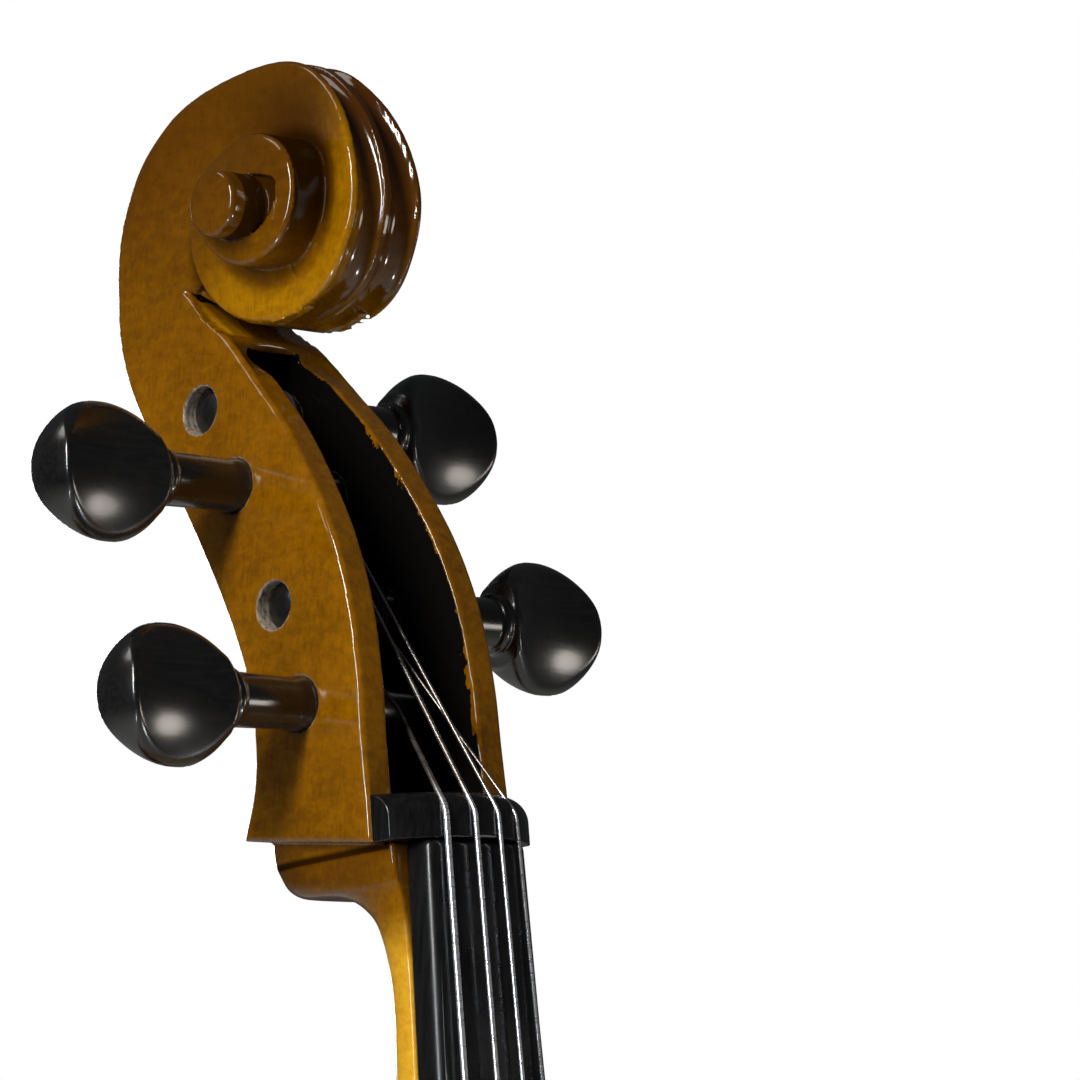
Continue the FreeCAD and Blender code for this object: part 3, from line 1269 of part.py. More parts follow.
def make_tuner(name):
    """A knurled screw, the lever that it tilts, and the string's ball held in the lever."""
    x = tuner_x(name)
    knob_end = "(tuner_knob_depth - tuner_knob_length)"
    tip = "(tuner_axle_depth - tuner_lever_thickness / 2 - tuner_tip_gap)"
    knob = "tuner_knob_diameter / 2"
    screw = turned(f"tuner_screw_{name}",
                   [(knob_end, "0"), (knob_end, f"{knob} - tuner_knob_bevel"),
                    (f"{knob_end} + tuner_knob_bevel", knob), ("tuner_knob_depth", knob),
                    ("tuner_knob_depth", "tuner_shank_diameter / 2"),
                    (tip, "tuner_shank_diameter / 2"), (tip, "0")])
    upright = Placement(Vector(x, 0, tail_screw_z), Rotation(Z_AXIS, 90))
    keep(screw, f"tuner_screw_{name}", tail_frame.multiply(upright))
    half = "tuner_lever_thickness / 2"
    near = f"(tuner_axle_depth - {half})"
    far = f"(tuner_axle_depth + {half})"
    lever = new_body(f"tuner_lever_{name}")
    side = draw(lever, "YZ_Plane", [("-tuner_fork_rise", half), ("-tuner_fork_rise", f"-{half}"),
                                    (near, f"-{half}"), (near, "-tuner_arm_length"),
                                    (far, "-tuner_arm_length"), (far, half)])
    padded(lever, side, "tuner_lever_width")
    slot = "tuner_fork_slot / 2"
    mouth = draw(lever, "XY_Plane", [(f"-{slot}", "tuner_fork_slot"),
                                     (f"-{slot}", "-tuner_fork_rise - overrun"),
                                     (slot, "-tuner_fork_rise - overrun"),
                                     (slot, "tuner_fork_slot")])
    pocketed(lever, mouth, "tuner_arm_length")
    bore = lever.newObject("Sketcher::SketchObject", f"tuner_bore_{name}")
    bore.AttachmentSupport = [(plane_of(lever, "YZ_Plane"), "")]
    bore.MapMode = "FlatFace"
    radius = "tuner_axle_diameter / 2 + running_clearance"
    bore.addGeometry(Part.Circle(Vector(cell("tuner_axle_depth"), 0, 0), Z_AXIS, cell(radius)))
    bore.addConstraint(Sketcher.Constraint("PointOnObject", 0, 3, -1))
    number = bore.addConstraint(Sketcher.Constraint("DistanceX", 0, 3, cell("tuner_axle_depth")))
    bind(bore, f"Constraints[{number}]", "tuner_axle_depth")
    number = bore.addConstraint(Sketcher.Constraint("Radius", 0, cell(radius)))
    bind(bore, f"Constraints[{number}]", radius)
    pocketed(lever, bore, "tuner_lever_width * 2")
    keep(lever, f"tuner_lever_{name}", tail_frame.multiply(Placement(Vector(x, 0, tail_tuner_z),
                                                                     Rotation())))
    ball = doc.addObject("Part::Sphere", f"string_ball_{name}")
    bind(ball, "Radius", "tuner_ball_diameter / 2")
    behind = tail_tuner_z - (size.tuner_lever_thickness + size.tuner_ball_diameter) / 2
    keep(ball, f"string_ball_{name}", tail_frame.multiply(Placement(Vector(x, 0, behind),
                                                                    Rotation())))


def make_saddle():
    """A hard block let into the top's edge, rounded where the gut bends over it."""
    body = new_body("saddle")
    half = "saddle_width / 2"
    sketch = draw(body, "YZ_Plane", [("0", "0"), ("0", "saddle_depth"),
                                     ("saddle_height + edge_thickness", "saddle_depth"),
                                     ("saddle_height + edge_thickness", "0")])
    pad = padded(body, sketch, f"2 * {half}")
    doc.recompute()
    edge = next(index for index, item in enumerate(pad.Shape.Edges, start=1)
                if abs(item.CenterOfMass.y) + abs(item.CenterOfMass.z) < size.least_edge)
    rounding = body.newObject("PartDesign::Fillet", "saddle_rounding")
    rounding.Base = (pad, [f"Edge{edge}"])
    bind(rounding, "Radius", "saddle_round")
    return keep(body, "saddle", Placement(saddle_top, Rotation()))


def tailgut():
    """The loop from the tailpiece, over the saddle and round the endpin's collar."""
    radius = size.tailgut_diameter / 2
    half = size.tailgut_spread / 2
    stand = radius + size.tailgut_gap
    groove = size.plug_collar_diameter / 2 - size.plug_groove_depth + stand
    corner_y = saddle_top.y - stand
    corner_z = saddle_top.z - stand
    centre = Vector(0, 0, size.endpin_exposed + size.plug_groove_up)
    over = Vector(half, corner_y, corner_z)
    away = (centre - Vector(0, corner_y, corner_z))
    forward = Vector(away).normalize()
    lean = math.asin((groove - half) / away.Length)
    out = Vector(math.cos(lean), 0, 0) - forward * math.sin(lean)
    touch = centre + out * groove
    grip = tail_frame.multVec(Vector(half, size.tailgut_depth, size.tail_gap
                                     + size.tailgut_grip))
    exit_point = tail_frame.multVec(Vector(half, size.tailgut_depth, size.tail_gap
                                           - size.tailgut_lead))
    right = rounded_route([grip, exit_point, over, touch], (size.tailgut_bend,
                                                            size.saddle_round + stand))
    back = centre + forward * groove
    round_right = Part.Arc(touch, centre + (out + forward).normalize() * groove, back).toShape()
    half_loop = right + [round_right]
    left = [edge.mirror(Vector(0, 0, 0), X_AXIS) for edge in half_loop]
    wire = Part.Wire(Part.__sortEdges__(half_loop + left))
    start = wire.OrderedVertexes[0].Point
    return tube(wire.OrderedEdges, radius, start, exit_point - grip)


# endpin

def make_endpin():
    """The rod with its ferrule and steel point, the plug it slides in, and the clamping screw."""
    rod = doc.addObject("Part::Cylinder", "endpin_rod")
    bind(rod, "Radius", "endpin_diameter / 2")
    bind(rod, "Height", "endpin_length")
    keep(rod, "endpin_rod", Placement())
    point = doc.addObject("Part::Cone", "endpin_point")
    bind(point, "Radius1", "endpin_tip_diameter / 2")
    bind(point, "Radius2", "endpin_diameter / 2")
    bind(point, "Height", "endpin_point")
    keep(point, "endpin_point", Placement(Vector(0, 0, -size.endpin_point), Rotation()))
    upright = Rotation(Y_AXIS, -90)
    ferrule = turned("endpin_ferrule", [("0", "endpin_diameter / 2"), ("0", "ferrule_diameter / 2"),
                                        ("ferrule_length", "ferrule_diameter / 2"),
                                        ("ferrule_length", "endpin_diameter / 2")])
    keep(ferrule, "endpin_ferrule", Placement(Vector(), upright))
    collar = "plug_collar_diameter / 2"
    bore = "endpin_diameter / 2 + running_clearance"
    groove = f"{collar} - plug_groove_depth"
    shank = "plug_shank_diameter / 2"
    end = "(plug_collar_length + plug_shank_length)"
    low = "(plug_groove_up - plug_groove_width / 2)"
    high = "(plug_groove_up + plug_groove_width / 2)"
    plug = turned("endpin_plug", [("0", bore), ("0", f"{collar} - plug_bevel"),
                                  ("plug_bevel", collar), (low, collar), (low, groove),
                                  (high, groove), (high, collar), ("plug_collar_length", collar),
                                  ("plug_collar_length", shank),
                                  (end, f"{shank} - plug_shank_length * plug_taper"), (end, bore)])
    hole = plug.newObject("Sketcher::SketchObject", "thumbscrew_hole")
    hole.AttachmentSupport = [(plane_of(plug, "XZ_Plane"), "")]
    hole.MapMode = "FlatFace"
    radius = "thumbscrew_shank / 2 + running_clearance"
    hole.addGeometry(Part.Circle(Vector(cell("thumbscrew_up"), 0, 0), Z_AXIS, cell(radius)))
    hole.addConstraint(Sketcher.Constraint("PointOnObject", 0, 3, -1))
    number = hole.addConstraint(Sketcher.Constraint("DistanceX", 0, 3, cell("thumbscrew_up")))
    bind(hole, f"Constraints[{number}]", "thumbscrew_up")
    number = hole.addConstraint(Sketcher.Constraint("Radius", 0, cell(radius)))
    bind(hole, f"Constraints[{number}]", radius)
    cut = plug.newObject("PartDesign::Pocket", "thumbscrew_thread")
    cut.Profile = hole
    bind(cut, "Length", "plug_collar_diameter")
    doc.recompute()
    keep(plug, "endpin_plug", Placement(Vector(0, 0, size.endpin_exposed), upright))
    tip = "(endpin_diameter / 2 + thumbscrew_gap)"
    neck = "(plug_collar_diameter / 2 + thumbscrew_stand)"
    head = "thumbscrew_head / 2"
    end = f"({neck} + thumbscrew_head_length)"
    screw = turned("thumbscrew", [(tip, "0"), (tip, "thumbscrew_shank / 2"),
                                  (neck, "thumbscrew_shank / 2"), (neck, head),
                                  (f"{end} - plug_bevel", head), (end, f"{head} - plug_bevel"),
                                  (end, "0")])
    where = Vector(0, 0, size.endpin_exposed + size.thumbscrew_up)
    keep(screw, "thumbscrew", Placement(where, Rotation(Z_AXIS, 90)))
    return plug


# assembly

endpin_plug = make_endpin()
doc.recompute()
plug_depth = (size.edge_overhang + size.rib_thickness + size.lower_block_depth + size.overrun)
plug_room = Part.makeCone(size.plug_shank_diameter / 2,
                          size.plug_shank_diameter / 2 - size.plug_taper * plug_depth,
                          plug_depth, Vector(0, 0, body_bottom), Z_AXIS)
neck_solid = main_solid(neck_and_scroll())
keep_shape("neck_and_scroll", neck_solid)
make_nut()
fingerboard()
saddle = make_saddle()
doc.recompute()
make_plates(neck_solid.fuse(saddle.Shape))
make_ribs(neck_solid, plug_room)
make_blocks(neck_solid, plug_room)
soundbox_room = under_top()
keep_shape("bass_bar", bass_bar(soundbox_room))
keep_shape("sound_post", sound_post(soundbox_room))
keep_shape("bridge", main_solid(bridge()))
keep_shape("tailpiece", tailpiece())
keep_shape("tuner_axle", axle(size.tuner_axle_half, size.tuner_axle_diameter / 2), tail_frame)
keep_shape("tailgut", tailgut())
for string_name in STRING_SHARES:
    make_peg(string_name)
    make_tuner(string_name)
    keep_shape(f"string_{string_name}", string_solid(string_name))
    keep_shape(f"winding_{string_name}", winding_solid(string_name), neck_frame)

doc.recompute()
for item in doc.Objects:
    if {"Invalid", "Error"} & set(item.State):
        raise RuntimeError(f"{item.Label} failed: {item.State}")
for node in nodes:
    if node.Shape.isNull() or not node.Shape.isValid() or not node.Shape.Solids:
        raise RuntimeError(f"{node.Label} has no valid solid")

os.makedirs("parts", exist_ok=True)
for node in nodes:
    node.Shape.exportStep(f"parts/{node.Label}.step")
    print(f"{node.Label}: {len(node.Shape.Solids)} solid(s), {node.Shape.Volume / 1000:.2f} cm3")
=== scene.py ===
"""A full-size cello, seen close to its head: the looks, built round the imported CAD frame.

Lengths are in metres in the cello's frame. The head, the neck, the nut and the pegs are shaped in
the neck frame, in millimetres: across (x), back from the fingerboard's glue face (y), and up the
neck (z).
"""
import json
import math
import bmesh
import bpy
import numpy as np
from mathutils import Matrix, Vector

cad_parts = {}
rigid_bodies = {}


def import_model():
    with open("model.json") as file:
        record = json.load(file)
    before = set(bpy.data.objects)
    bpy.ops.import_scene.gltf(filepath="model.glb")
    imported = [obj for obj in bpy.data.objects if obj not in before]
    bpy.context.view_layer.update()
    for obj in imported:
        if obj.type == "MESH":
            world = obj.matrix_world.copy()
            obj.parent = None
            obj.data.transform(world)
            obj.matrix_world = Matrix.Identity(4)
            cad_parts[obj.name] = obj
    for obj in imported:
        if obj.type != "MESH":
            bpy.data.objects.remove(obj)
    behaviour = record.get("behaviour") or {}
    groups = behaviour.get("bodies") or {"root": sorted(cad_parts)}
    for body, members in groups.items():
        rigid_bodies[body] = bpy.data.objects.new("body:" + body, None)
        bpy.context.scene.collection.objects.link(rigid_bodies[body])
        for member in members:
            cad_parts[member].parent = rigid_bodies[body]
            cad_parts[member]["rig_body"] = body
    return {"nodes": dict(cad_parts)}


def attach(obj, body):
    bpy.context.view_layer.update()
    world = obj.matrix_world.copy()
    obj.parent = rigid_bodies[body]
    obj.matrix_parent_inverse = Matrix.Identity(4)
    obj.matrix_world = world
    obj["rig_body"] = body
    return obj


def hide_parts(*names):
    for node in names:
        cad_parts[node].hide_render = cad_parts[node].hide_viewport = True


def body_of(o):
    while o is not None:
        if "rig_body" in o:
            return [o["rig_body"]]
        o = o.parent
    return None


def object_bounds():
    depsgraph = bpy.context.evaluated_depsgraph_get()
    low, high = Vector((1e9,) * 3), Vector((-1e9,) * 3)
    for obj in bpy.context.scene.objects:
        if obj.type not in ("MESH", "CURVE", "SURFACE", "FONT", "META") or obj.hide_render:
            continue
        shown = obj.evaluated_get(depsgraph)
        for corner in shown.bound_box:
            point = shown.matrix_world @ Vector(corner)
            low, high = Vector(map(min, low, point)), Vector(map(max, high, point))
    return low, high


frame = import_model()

import openvdb
from mathutils import Matrix, Vector

MM = 0.001
cad_low, cad_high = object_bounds()
nodes = frame["nodes"]
scene = bpy.context.scene
STRINGS = "cgda"
# a quick build takes coarser steps
COARSER = 1

# the neck frame, as in the CAD part
NECK_ANGLE = math.radians(9.3)
BODY_TOP = 821.0
NECK_STOP = 280.0
FRONT_EDGE = -63.6
OVERSTAND = 21.0
HALF_RIB = 59.0
MORTISE = 9.0
NECK_ORIGIN = Vector((0, FRONT_EDGE - OVERSTAND + NECK_STOP * math.sin(NECK_ANGLE),
                      BODY_TOP + NECK_STOP * math.cos(NECK_ANGLE)))
NECK_TURN = Matrix.Rotation(-NECK_ANGLE, 3, "X")


def from_neck(points):
    """Points of the neck frame, in millimetres, as points of the cello in metres."""
    turn = np.array(NECK_TURN)
    return (np.asarray(points, float) @ turn.T + np.array(NECK_ORIGIN)) * MM


def to_neck(places):
    """Points of the cello, in metres, as points of the neck frame in millimetres."""
    return (places / MM - np.array(NECK_ORIGIN)) @ np.array(NECK_TURN)


# node helpers

def shader(name):
    """A new node material: the material, its tree and its Principled node."""
    made = bpy.data.materials.new(name)
    made.use_nodes = True
    tree = made.node_tree
    return made, tree, tree.nodes["Principled BSDF"]


def link(tree, value, socket):
    """Sets a socket, either to a value or linked from another socket."""
    if isinstance(value, bpy.types.NodeSocket):
        tree.links.new(value, socket)
    else:
        socket.default_value = value


def fill(tree, node, inputs):
    """Sets a node's inputs by name."""
    for key, value in inputs.items():
        link(tree, value, node.inputs[key])


def add(tree, kind, inputs=None, **settings):
    """Adds a node, with its settings and its inputs."""
    node = tree.nodes.new(kind)
    for key, value in settings.items():
        setattr(node, key, value)
    fill(tree, node, inputs or {})
    return node


def place_of(tree, scale=(1, 1, 1)):
    """Object coordinates, stretched."""
    place = add(tree, "ShaderNodeTexCoord").outputs["Object"]
    return add(tree, "ShaderNodeMapping", {"Vector": place, "Scale": scale}).outputs["Vector"]


def noise(tree, vector, scale=1.0, detail=4.0, roughness=0.55, warp=0.0):
    return add(tree, "ShaderNodeTexNoise", {"Vector": vector, "Scale": scale, "Detail": detail,
                                            "Roughness": roughness, "Distortion": warp}
               ).outputs["Fac"]


def ramp(tree, value, reach, *colours):
    """A ramp between two colours, over a reach of values; a grey may be one number."""
    node = add(tree, "ShaderNodeValToRGB", {"Fac": value})
    for stop, place, colour in zip(node.color_ramp.elements, reach, colours):
        stop.position = place
        stop.color = (*colour, 1) if isinstance(colour, tuple) else (colour, colour, colour, 1)
    return node.outputs["Color"]


def mix(tree, share, first, second, blend="MIX"):
    """Two colours mixed; a share of one gives the second."""
    node = add(tree, "ShaderNodeMix", data_type="RGBA", blend_type=blend)
    for key, value in (("Factor", share), ("A", first), ("B", second)):
        socket = next(s for s in node.inputs if s.name == key and s.enabled)
        if isinstance(value, tuple):
            value = (*value, 1)
        link(tree, value, socket)
    return next(s for s in node.outputs if s.enabled)


def maths(tree, operation, first, second=0.0, clamp=False):
    node = add(tree, "ShaderNodeMath", operation=operation, use_clamp=clamp)
    link(tree, first, node.inputs[0])
    link(tree, second, node.inputs[1])
    return node.outputs[0]


def bump(tree, height, strength, distance):
    return add(tree, "ShaderNodeBump", {"Height": height, "Strength": strength,
                                        "Distance": distance}).outputs["Normal"]


def attribute(tree, name):
    return add(tree, "ShaderNodeAttribute", attribute_name=name).outputs["Fac"]


# materials

MAPLE_DARK = (0.125, 0.045, 0.0001)
MAPLE_LIGHT = (0.265, 0.103, 0.0002)
MAPLE_DEEP = (0.075, 0.022, 0.0001)
SPRUCE_DARK = (0.14, 0.048, 0.0006)
SPRUCE_LIGHT = (0.37, 0.15, 0.002)
HANDLE_DARK = (0.46, 0.21, 0.008)
HANDLE_LIGHT = (0.78, 0.42, 0.024)
# painted light on the carved head: the tint of a golden band of light along the scroll's face
LIT_BAND_TINT = (1.45, 1.62, 0.8)
# painted shade on the carved head: darker towards the top, in the far flute, at the back and under
# the chin
FALLOFF_SHADE_BROWN = (0.045, 0.0135, 0.0001)
# painted shade in the pit by the eye, beside the second turn and under the nut's ledge
SHADE_BROWN = (0.012, 0.004, 0.0002)
PEGBOX_BLACK = (0.0035, 0.003, 0.0028)
BORE_DARK = (0.12, 0.095, 0.07)
BORE_LIGHT = (0.36, 0.31, 0.25)
STRING_BRIGHT = ((0.78, 0.78, 0.82), (0.84, 0.84, 0.88))
STRING_DULL = ((0.25, 0.22, 0.2), (0.3, 0.27, 0.24))
# varnish: noise scales per metre, the reach of noise that each ramp spans, its greys or
# roughness there, the share of each layer, and each bump's strength and depth
PATCH_SCALE = 30
PATCH_SHARE = 0.45
FIGURE_WARP = 0.5
MOTTLE_REACH = (0.3, 0.7)
PORE_SCALE = (1100, 1100, 300)
PORE_REACH = (0.3, 0.55)
PORE_GREYS = (0.8, 1.0)
PORE_BUMP = (0.12, 0.00015)
WORN_SCALE = 9
WORN_REACH = (0.45, 0.8)
WORN_SHARE = 0.3
HAZE_SCALE = 60
HAZE_REACH = (0.3, 0.75)
HAZE_ROUGHNESS = (0.06, 0.15)
SKIN_SCALE = 240
SKIN_BUMP = (0.05, 0.0004)
WOOD_ROUGHNESS = 0.5
# the carved head: how far each mark covers the varnish or takes its gloss
SHADE_COVER = 0.92
SHADE_DULLS = 0.85
BLACK_DULLS = 0.75
BLACK_EDGE = 14.0
CHIP_SCALE = (150, 150, 90)
CHIP_ROUGHNESS = 0.7
CHIP_REACH = (0.52, 0.62)
CHIP_DEPTHS = (0.0, 0.45)
BORE_REACH = (0.35, 0.6)
# plain stuffs
GRAIN_REACH = (0.34, 0.66)
GRAIN_BUMP = 0.3
BROAD_SCALE = 45
BROAD_REACH = (0.32, 0.68)
COAT_ROUGHNESS = 0.17
# strings: how far up the cello the bright part ends, in metres, and how fast it fades
NUT_TOP = 1.108
STRING_FADE = 250.0
WIND_SCALE = (60, 60, 1500)
WIND_REACH = (0.35, 0.65)
WIND_GLOSS_REACH = (0.3, 0.7)
WIND_ROUGHNESS = (0.24, 0.36)
WIND_METAL = 0.9


def on_the_head(tree, colour, share, fine):
    """The carved head's marks over the varnish: its colour, and the weight of its coat."""
    # painted highlight: a golden band of light along the scroll's face
    colour = mix(tree, attribute(tree, "lit_band"), colour,
                 mix(tree, 1.0, colour, LIT_BAND_TINT, "MULTIPLY"))
    # painted shade: darker towards the top, in the far flute, at the back and under the chin
    colour = mix(tree, attribute(tree, "falloff_shade"), colour, FALLOFF_SHADE_BROWN)
    # painted shade in the pit, beside the second turn and under the nut's ledge
    shade = attribute(tree, "shade")
    colour = mix(tree, maths(tree, "MULTIPLY", shade, SHADE_COVER), colour, SHADE_BROWN)
    pale = ramp(tree, share, MOTTLE_REACH, HANDLE_DARK, HANDLE_LIGHT)
    colour = mix(tree, attribute(tree, "handle"), colour, pale)
    chips = noise(tree, place_of(tree, CHIP_SCALE), roughness=CHIP_ROUGHNESS)
    inside = maths(tree, "SUBTRACT", attribute(tree, "inside"),
                   ramp(tree, chips, CHIP_REACH, *CHIP_DEPTHS))
    inside = maths(tree, "MULTIPLY", inside, BLACK_EDGE, clamp=True)
    colour = mix(tree, inside, colour, PEGBOX_BLACK)
    raw = attribute(tree, "raw")
    colour = mix(tree, raw, colour, ramp(tree, fine, BORE_REACH, BORE_DARK, BORE_LIGHT))
    bare = maths(tree, "MAXIMUM", raw, maths(tree, "MULTIPLY", inside, BLACK_DULLS))
    bare = maths(tree, "MAXIMUM", bare, maths(tree, "MULTIPLY", shade, SHADE_DULLS))
    return colour, maths(tree, "SUBTRACT", 1.0, bare, clamp=True)


def varnish(name, dark, light, figure, carved=False):
    """Oil varnish over wood: mottled colour, the wood's figure and a clear glossy coat."""
    made, tree, out = shader(name)
    place = place_of(tree)
    patches = noise(tree, place, PATCH_SCALE, detail=2)
    lines = noise(tree, place_of(tree, figure), detail=3, warp=FIGURE_WARP)
    fine = noise(tree, place_of(tree, PORE_SCALE), detail=2)
    share = maths(tree, "ADD", maths(tree, "MULTIPLY", patches, PATCH_SHARE),
                  maths(tree, "MULTIPLY", lines, 1 - PATCH_SHARE))
    colour = ramp(tree, share, MOTTLE_REACH, dark, light)
    colour = mix(tree, 1.0, colour, ramp(tree, fine, PORE_REACH, *PORE_GREYS), "MULTIPLY")
    worn = ramp(tree, noise(tree, place, WORN_SCALE, detail=2), WORN_REACH, 0.0, 1.0)
    colour = mix(tree, maths(tree, "MULTIPLY", worn, WORN_SHARE), colour, MAPLE_DEEP)
    haze = ramp(tree, noise(tree, place, HAZE_SCALE, detail=3), HAZE_REACH, *HAZE_ROUGHNESS)
    coat = 1.0
    if carved:
        colour, coat = on_the_head(tree, colour, share, fine)
    skin = noise(tree, place, SKIN_SCALE, detail=2)
    fill(tree, out, {"Base Color": colour, "Roughness": WOOD_ROUGHNESS,
                     "Specular IOR Level": 0.0, "Coat Weight": coat, "Coat Roughness": haze,
                     "Normal": bump(tree, fine, *PORE_BUMP),
                     "Coat Normal": bump(tree, skin, *SKIN_BUMP)})
    return made


def finish_of(name, dark, light, rough, grain=(300, 300, 300), metal=0.0, coat=0.0, height=0.00006,
              specular=0.5):
    """A material of one stuff: its grain in colour and roughness, with a slight bump."""
    made, tree, out = shader(name)
    grained = noise(tree, place_of(tree, grain), detail=3)
    broad = noise(tree, place_of(tree), BROAD_SCALE, detail=3)
    fill(tree, out, {"Base Color": ramp(tree, grained, GRAIN_REACH, dark, light),
                     "Roughness": ramp(tree, broad, BROAD_REACH, *rough),
                     "Normal": bump(tree, grained, GRAIN_BUMP, height), "Metallic": metal,
                     "Coat Weight": coat, "Coat Roughness": COAT_ROUGHNESS,
                     "Specular IOR Level": specular})
    return made


def string_steel():
    """Flat wound steel: bright over the board, duller and warmer inside the pegbox."""
    made, tree, out = shader("string_steel")
    up = add(tree, "ShaderNodeSeparateXYZ", {"Vector": place_of(tree)}).outputs["Z"]
    above = maths(tree, "MULTIPLY", maths(tree, "SUBTRACT", up, NUT_TOP), STRING_FADE, clamp=True)
    winds = noise(tree, place_of(tree, WIND_SCALE), detail=2)
    bright = ramp(tree, winds, WIND_REACH, *STRING_BRIGHT)
    dull = ramp(tree, winds, WIND_REACH, *STRING_DULL)
    fill(tree, out, {"Base Color": mix(tree, above, bright, dull), "Metallic": WIND_METAL,
                     "Roughness": ramp(tree, winds, WIND_GLOSS_REACH, *WIND_ROUGHNESS)})
    return made


# a plain stuff: its dark and light colour, its roughness from and to, then what sets it apart
FINISHES = {
    "bare_spruce": ((0.42, 0.27, 0.12), (0.62, 0.45, 0.24), (0.6, 0.8), {"grain": (500, 500, 8)}),
    "bridge_maple": ((0.33, 0.17, 0.055), (0.52, 0.31, 0.12), (0.42, 0.6),
                     {"grain": (60, 500, 300)}),
    "peg_ebony": ((0.0025, 0.0022, 0.002), (0.007, 0.0062, 0.0058), (0.2, 0.34),
                  {"grain": (60, 900, 900), "coat": 0.7, "specular": 0.4}),
    "ebony": ((0.0025, 0.0025, 0.0027), (0.008, 0.008, 0.0085), (0.22, 0.36),
              {"grain": (900, 900, 60), "specular": 0.35}),
    "tailpiece_black": ((0.006, 0.006, 0.0065), (0.012, 0.012, 0.013), (0.3, 0.42),
                        {"coat": 0.15}),
    "purfling": ((0.01, 0.006, 0.004), (0.03, 0.018, 0.01), (0.35, 0.5), {}),
    "string_silk": ((0.008, 0.003, 0.013), (0.03, 0.009, 0.045), (0.6, 0.8),
                    {"grain": (300, 300, 2400), "height": 0.0002}),
    "brass": ((0.62, 0.38, 0.12), (0.82, 0.56, 0.2), (0.22, 0.34), {"metal": 1.0}),
    "nickel": ((0.55, 0.53, 0.5), (0.78, 0.76, 0.72), (0.14, 0.26), {"metal": 1.0}),
    "black_steel": ((0.012, 0.012, 0.013), (0.03, 0.03, 0.032), (0.24, 0.36), {"metal": 0.6}),
    "polished_steel": ((0.5, 0.5, 0.52), (0.74, 0.74, 0.76), (0.16, 0.28),
                       {"grain": (40, 40, 900), "metal": 1.0}),
    "tailgut": ((0.02, 0.019, 0.018), (0.045, 0.042, 0.04), (0.3, 0.45), {}),
}
stuffs = {
    "varnished_maple": varnish("varnished_maple", MAPLE_DARK, MAPLE_LIGHT, (240, 240, 420),
                               carved=True),
    "flamed_maple": varnish("flamed_maple", MAPLE_DARK, MAPLE_LIGHT, (6, 14, 130)),
    "varnished_spruce": varnish("varnished_spruce", SPRUCE_DARK, SPRUCE_LIGHT, (620, 40, 3)),
    "string_steel": string_steel(),
}
for stuff, (dark, light, rough, more) in FINISHES.items():
    stuffs[stuff] = finish_of(stuff, dark, light, rough, **more)
# the first start that fits a node's name gives its stuff
STUFF_OF = (("string_ball", "brass"), ("string_", "string_steel"), ("winding_", "string_silk"),
            ("peg_", "peg_ebony"), ("tuner_screw", "nickel"), ("tuner_", "black_steel"),
            ("rib_", "flamed_maple"), ("back_plate", "flamed_maple"), ("neck", "varnished_maple"),
            ("top_plate", "varnished_spruce"), ("purfling", "purfling"),
            ("bridge", "bridge_maple"), ("nut", "ebony"), ("fingerboard", "ebony"),
            ("saddle", "ebony"), ("endpin_plug", "ebony"), ("endpin_ferrule", "nickel"),
            ("thumbscrew", "nickel"), ("endpin_", "polished_steel"),
            ("tailpiece", "tailpiece_black"), ("tailgut", "tailgut"), ("", "bare_spruce"))


def stuff_of(name):
    """The material of a CAD node and the name of its slot, by the node's name."""
    stuff = next(stuff for start, stuff in STUFF_OF if name.startswith(start))
    return stuffs[stuff], "varnished_maple" if stuff == "flamed_maple" else stuff


for name, node in nodes.items():
    node.data.materials.clear()
    node.data.materials.append(stuff_of(name)[0])

# the head: outlines seen from the side (back, up), in millimetres of the neck frame

HEAD_BACK = ((47.0, 6.4), (42.6, 18.0), (41.4, 30.0), (43.4, 45.0), (48.8, 60.0), (58.4, 79.0),
             (70.8, 100.0), (82.2, 118.5), (87.6, 129.5), (90.7, 140.0), (91.7, 149.6),
             (90.9, 160.3), (88.6, 170.7), (83.4, 182.4), (74.2, 191.4), (65.2, 195.8),
             (54.3, 198.2), (43.6, 199.1), (34.0, 198.5), (26.0, 195.9), (19.6, 191.3),
             (12.8, 183.4), (8.2, 174.0), (6.0, 163.5), (6.5, 155.6), (9.6, 147.8), (15.4, 139.8),
             (23.2, 135.0), (33.8, 133.0), (43.5, 133.8), (50.5, 136.6), (56.4, 141.2))
THROAT_END = (62.5, 144.8)
CHEEK_FRONT = ((65.5, 146.4), (57.5, 138.5), (48.8, 130.0), (38.2, 117.4), (28.0, 105.0),
               (18.9, 90.4), (11.3, 75.0), (6.2, 58.0), (3.9, 40.0), (3.5, 24.0), (2.8, 9.6))
HEAD_FOOT = ((2.8, 0.0),)
CAVITY_BACK = ((35.6, 12.1), (35.6, 22.0), (35.6, 33.5), (38.0, 48.0), (42.5, 64.0), (53.0, 84.0),
               (65.0, 103.0), (71.5, 112.5), (72.5, 121.0), (68.5, 127.5), (60.0, 130.0),
               (52.0, 129.2))
CAVITY_TOP = 128.5
CAVITY_LEAD = 2.5
CAVITY_CORNER = 2.0
INNER_EDGE = 0.6
CHEEK_THICKNESS = 8.2
PEGBOX_HALF = 23.5
PEGBOX_TOP_HALF = 14.1
THROAT_UP = 149.0
THROAT_HOLLOW = 6.0
THROAT_RANGE = (118, 131)
THROAT_FROM = (31.0, 38.0)
THROAT_LAND = 2.2
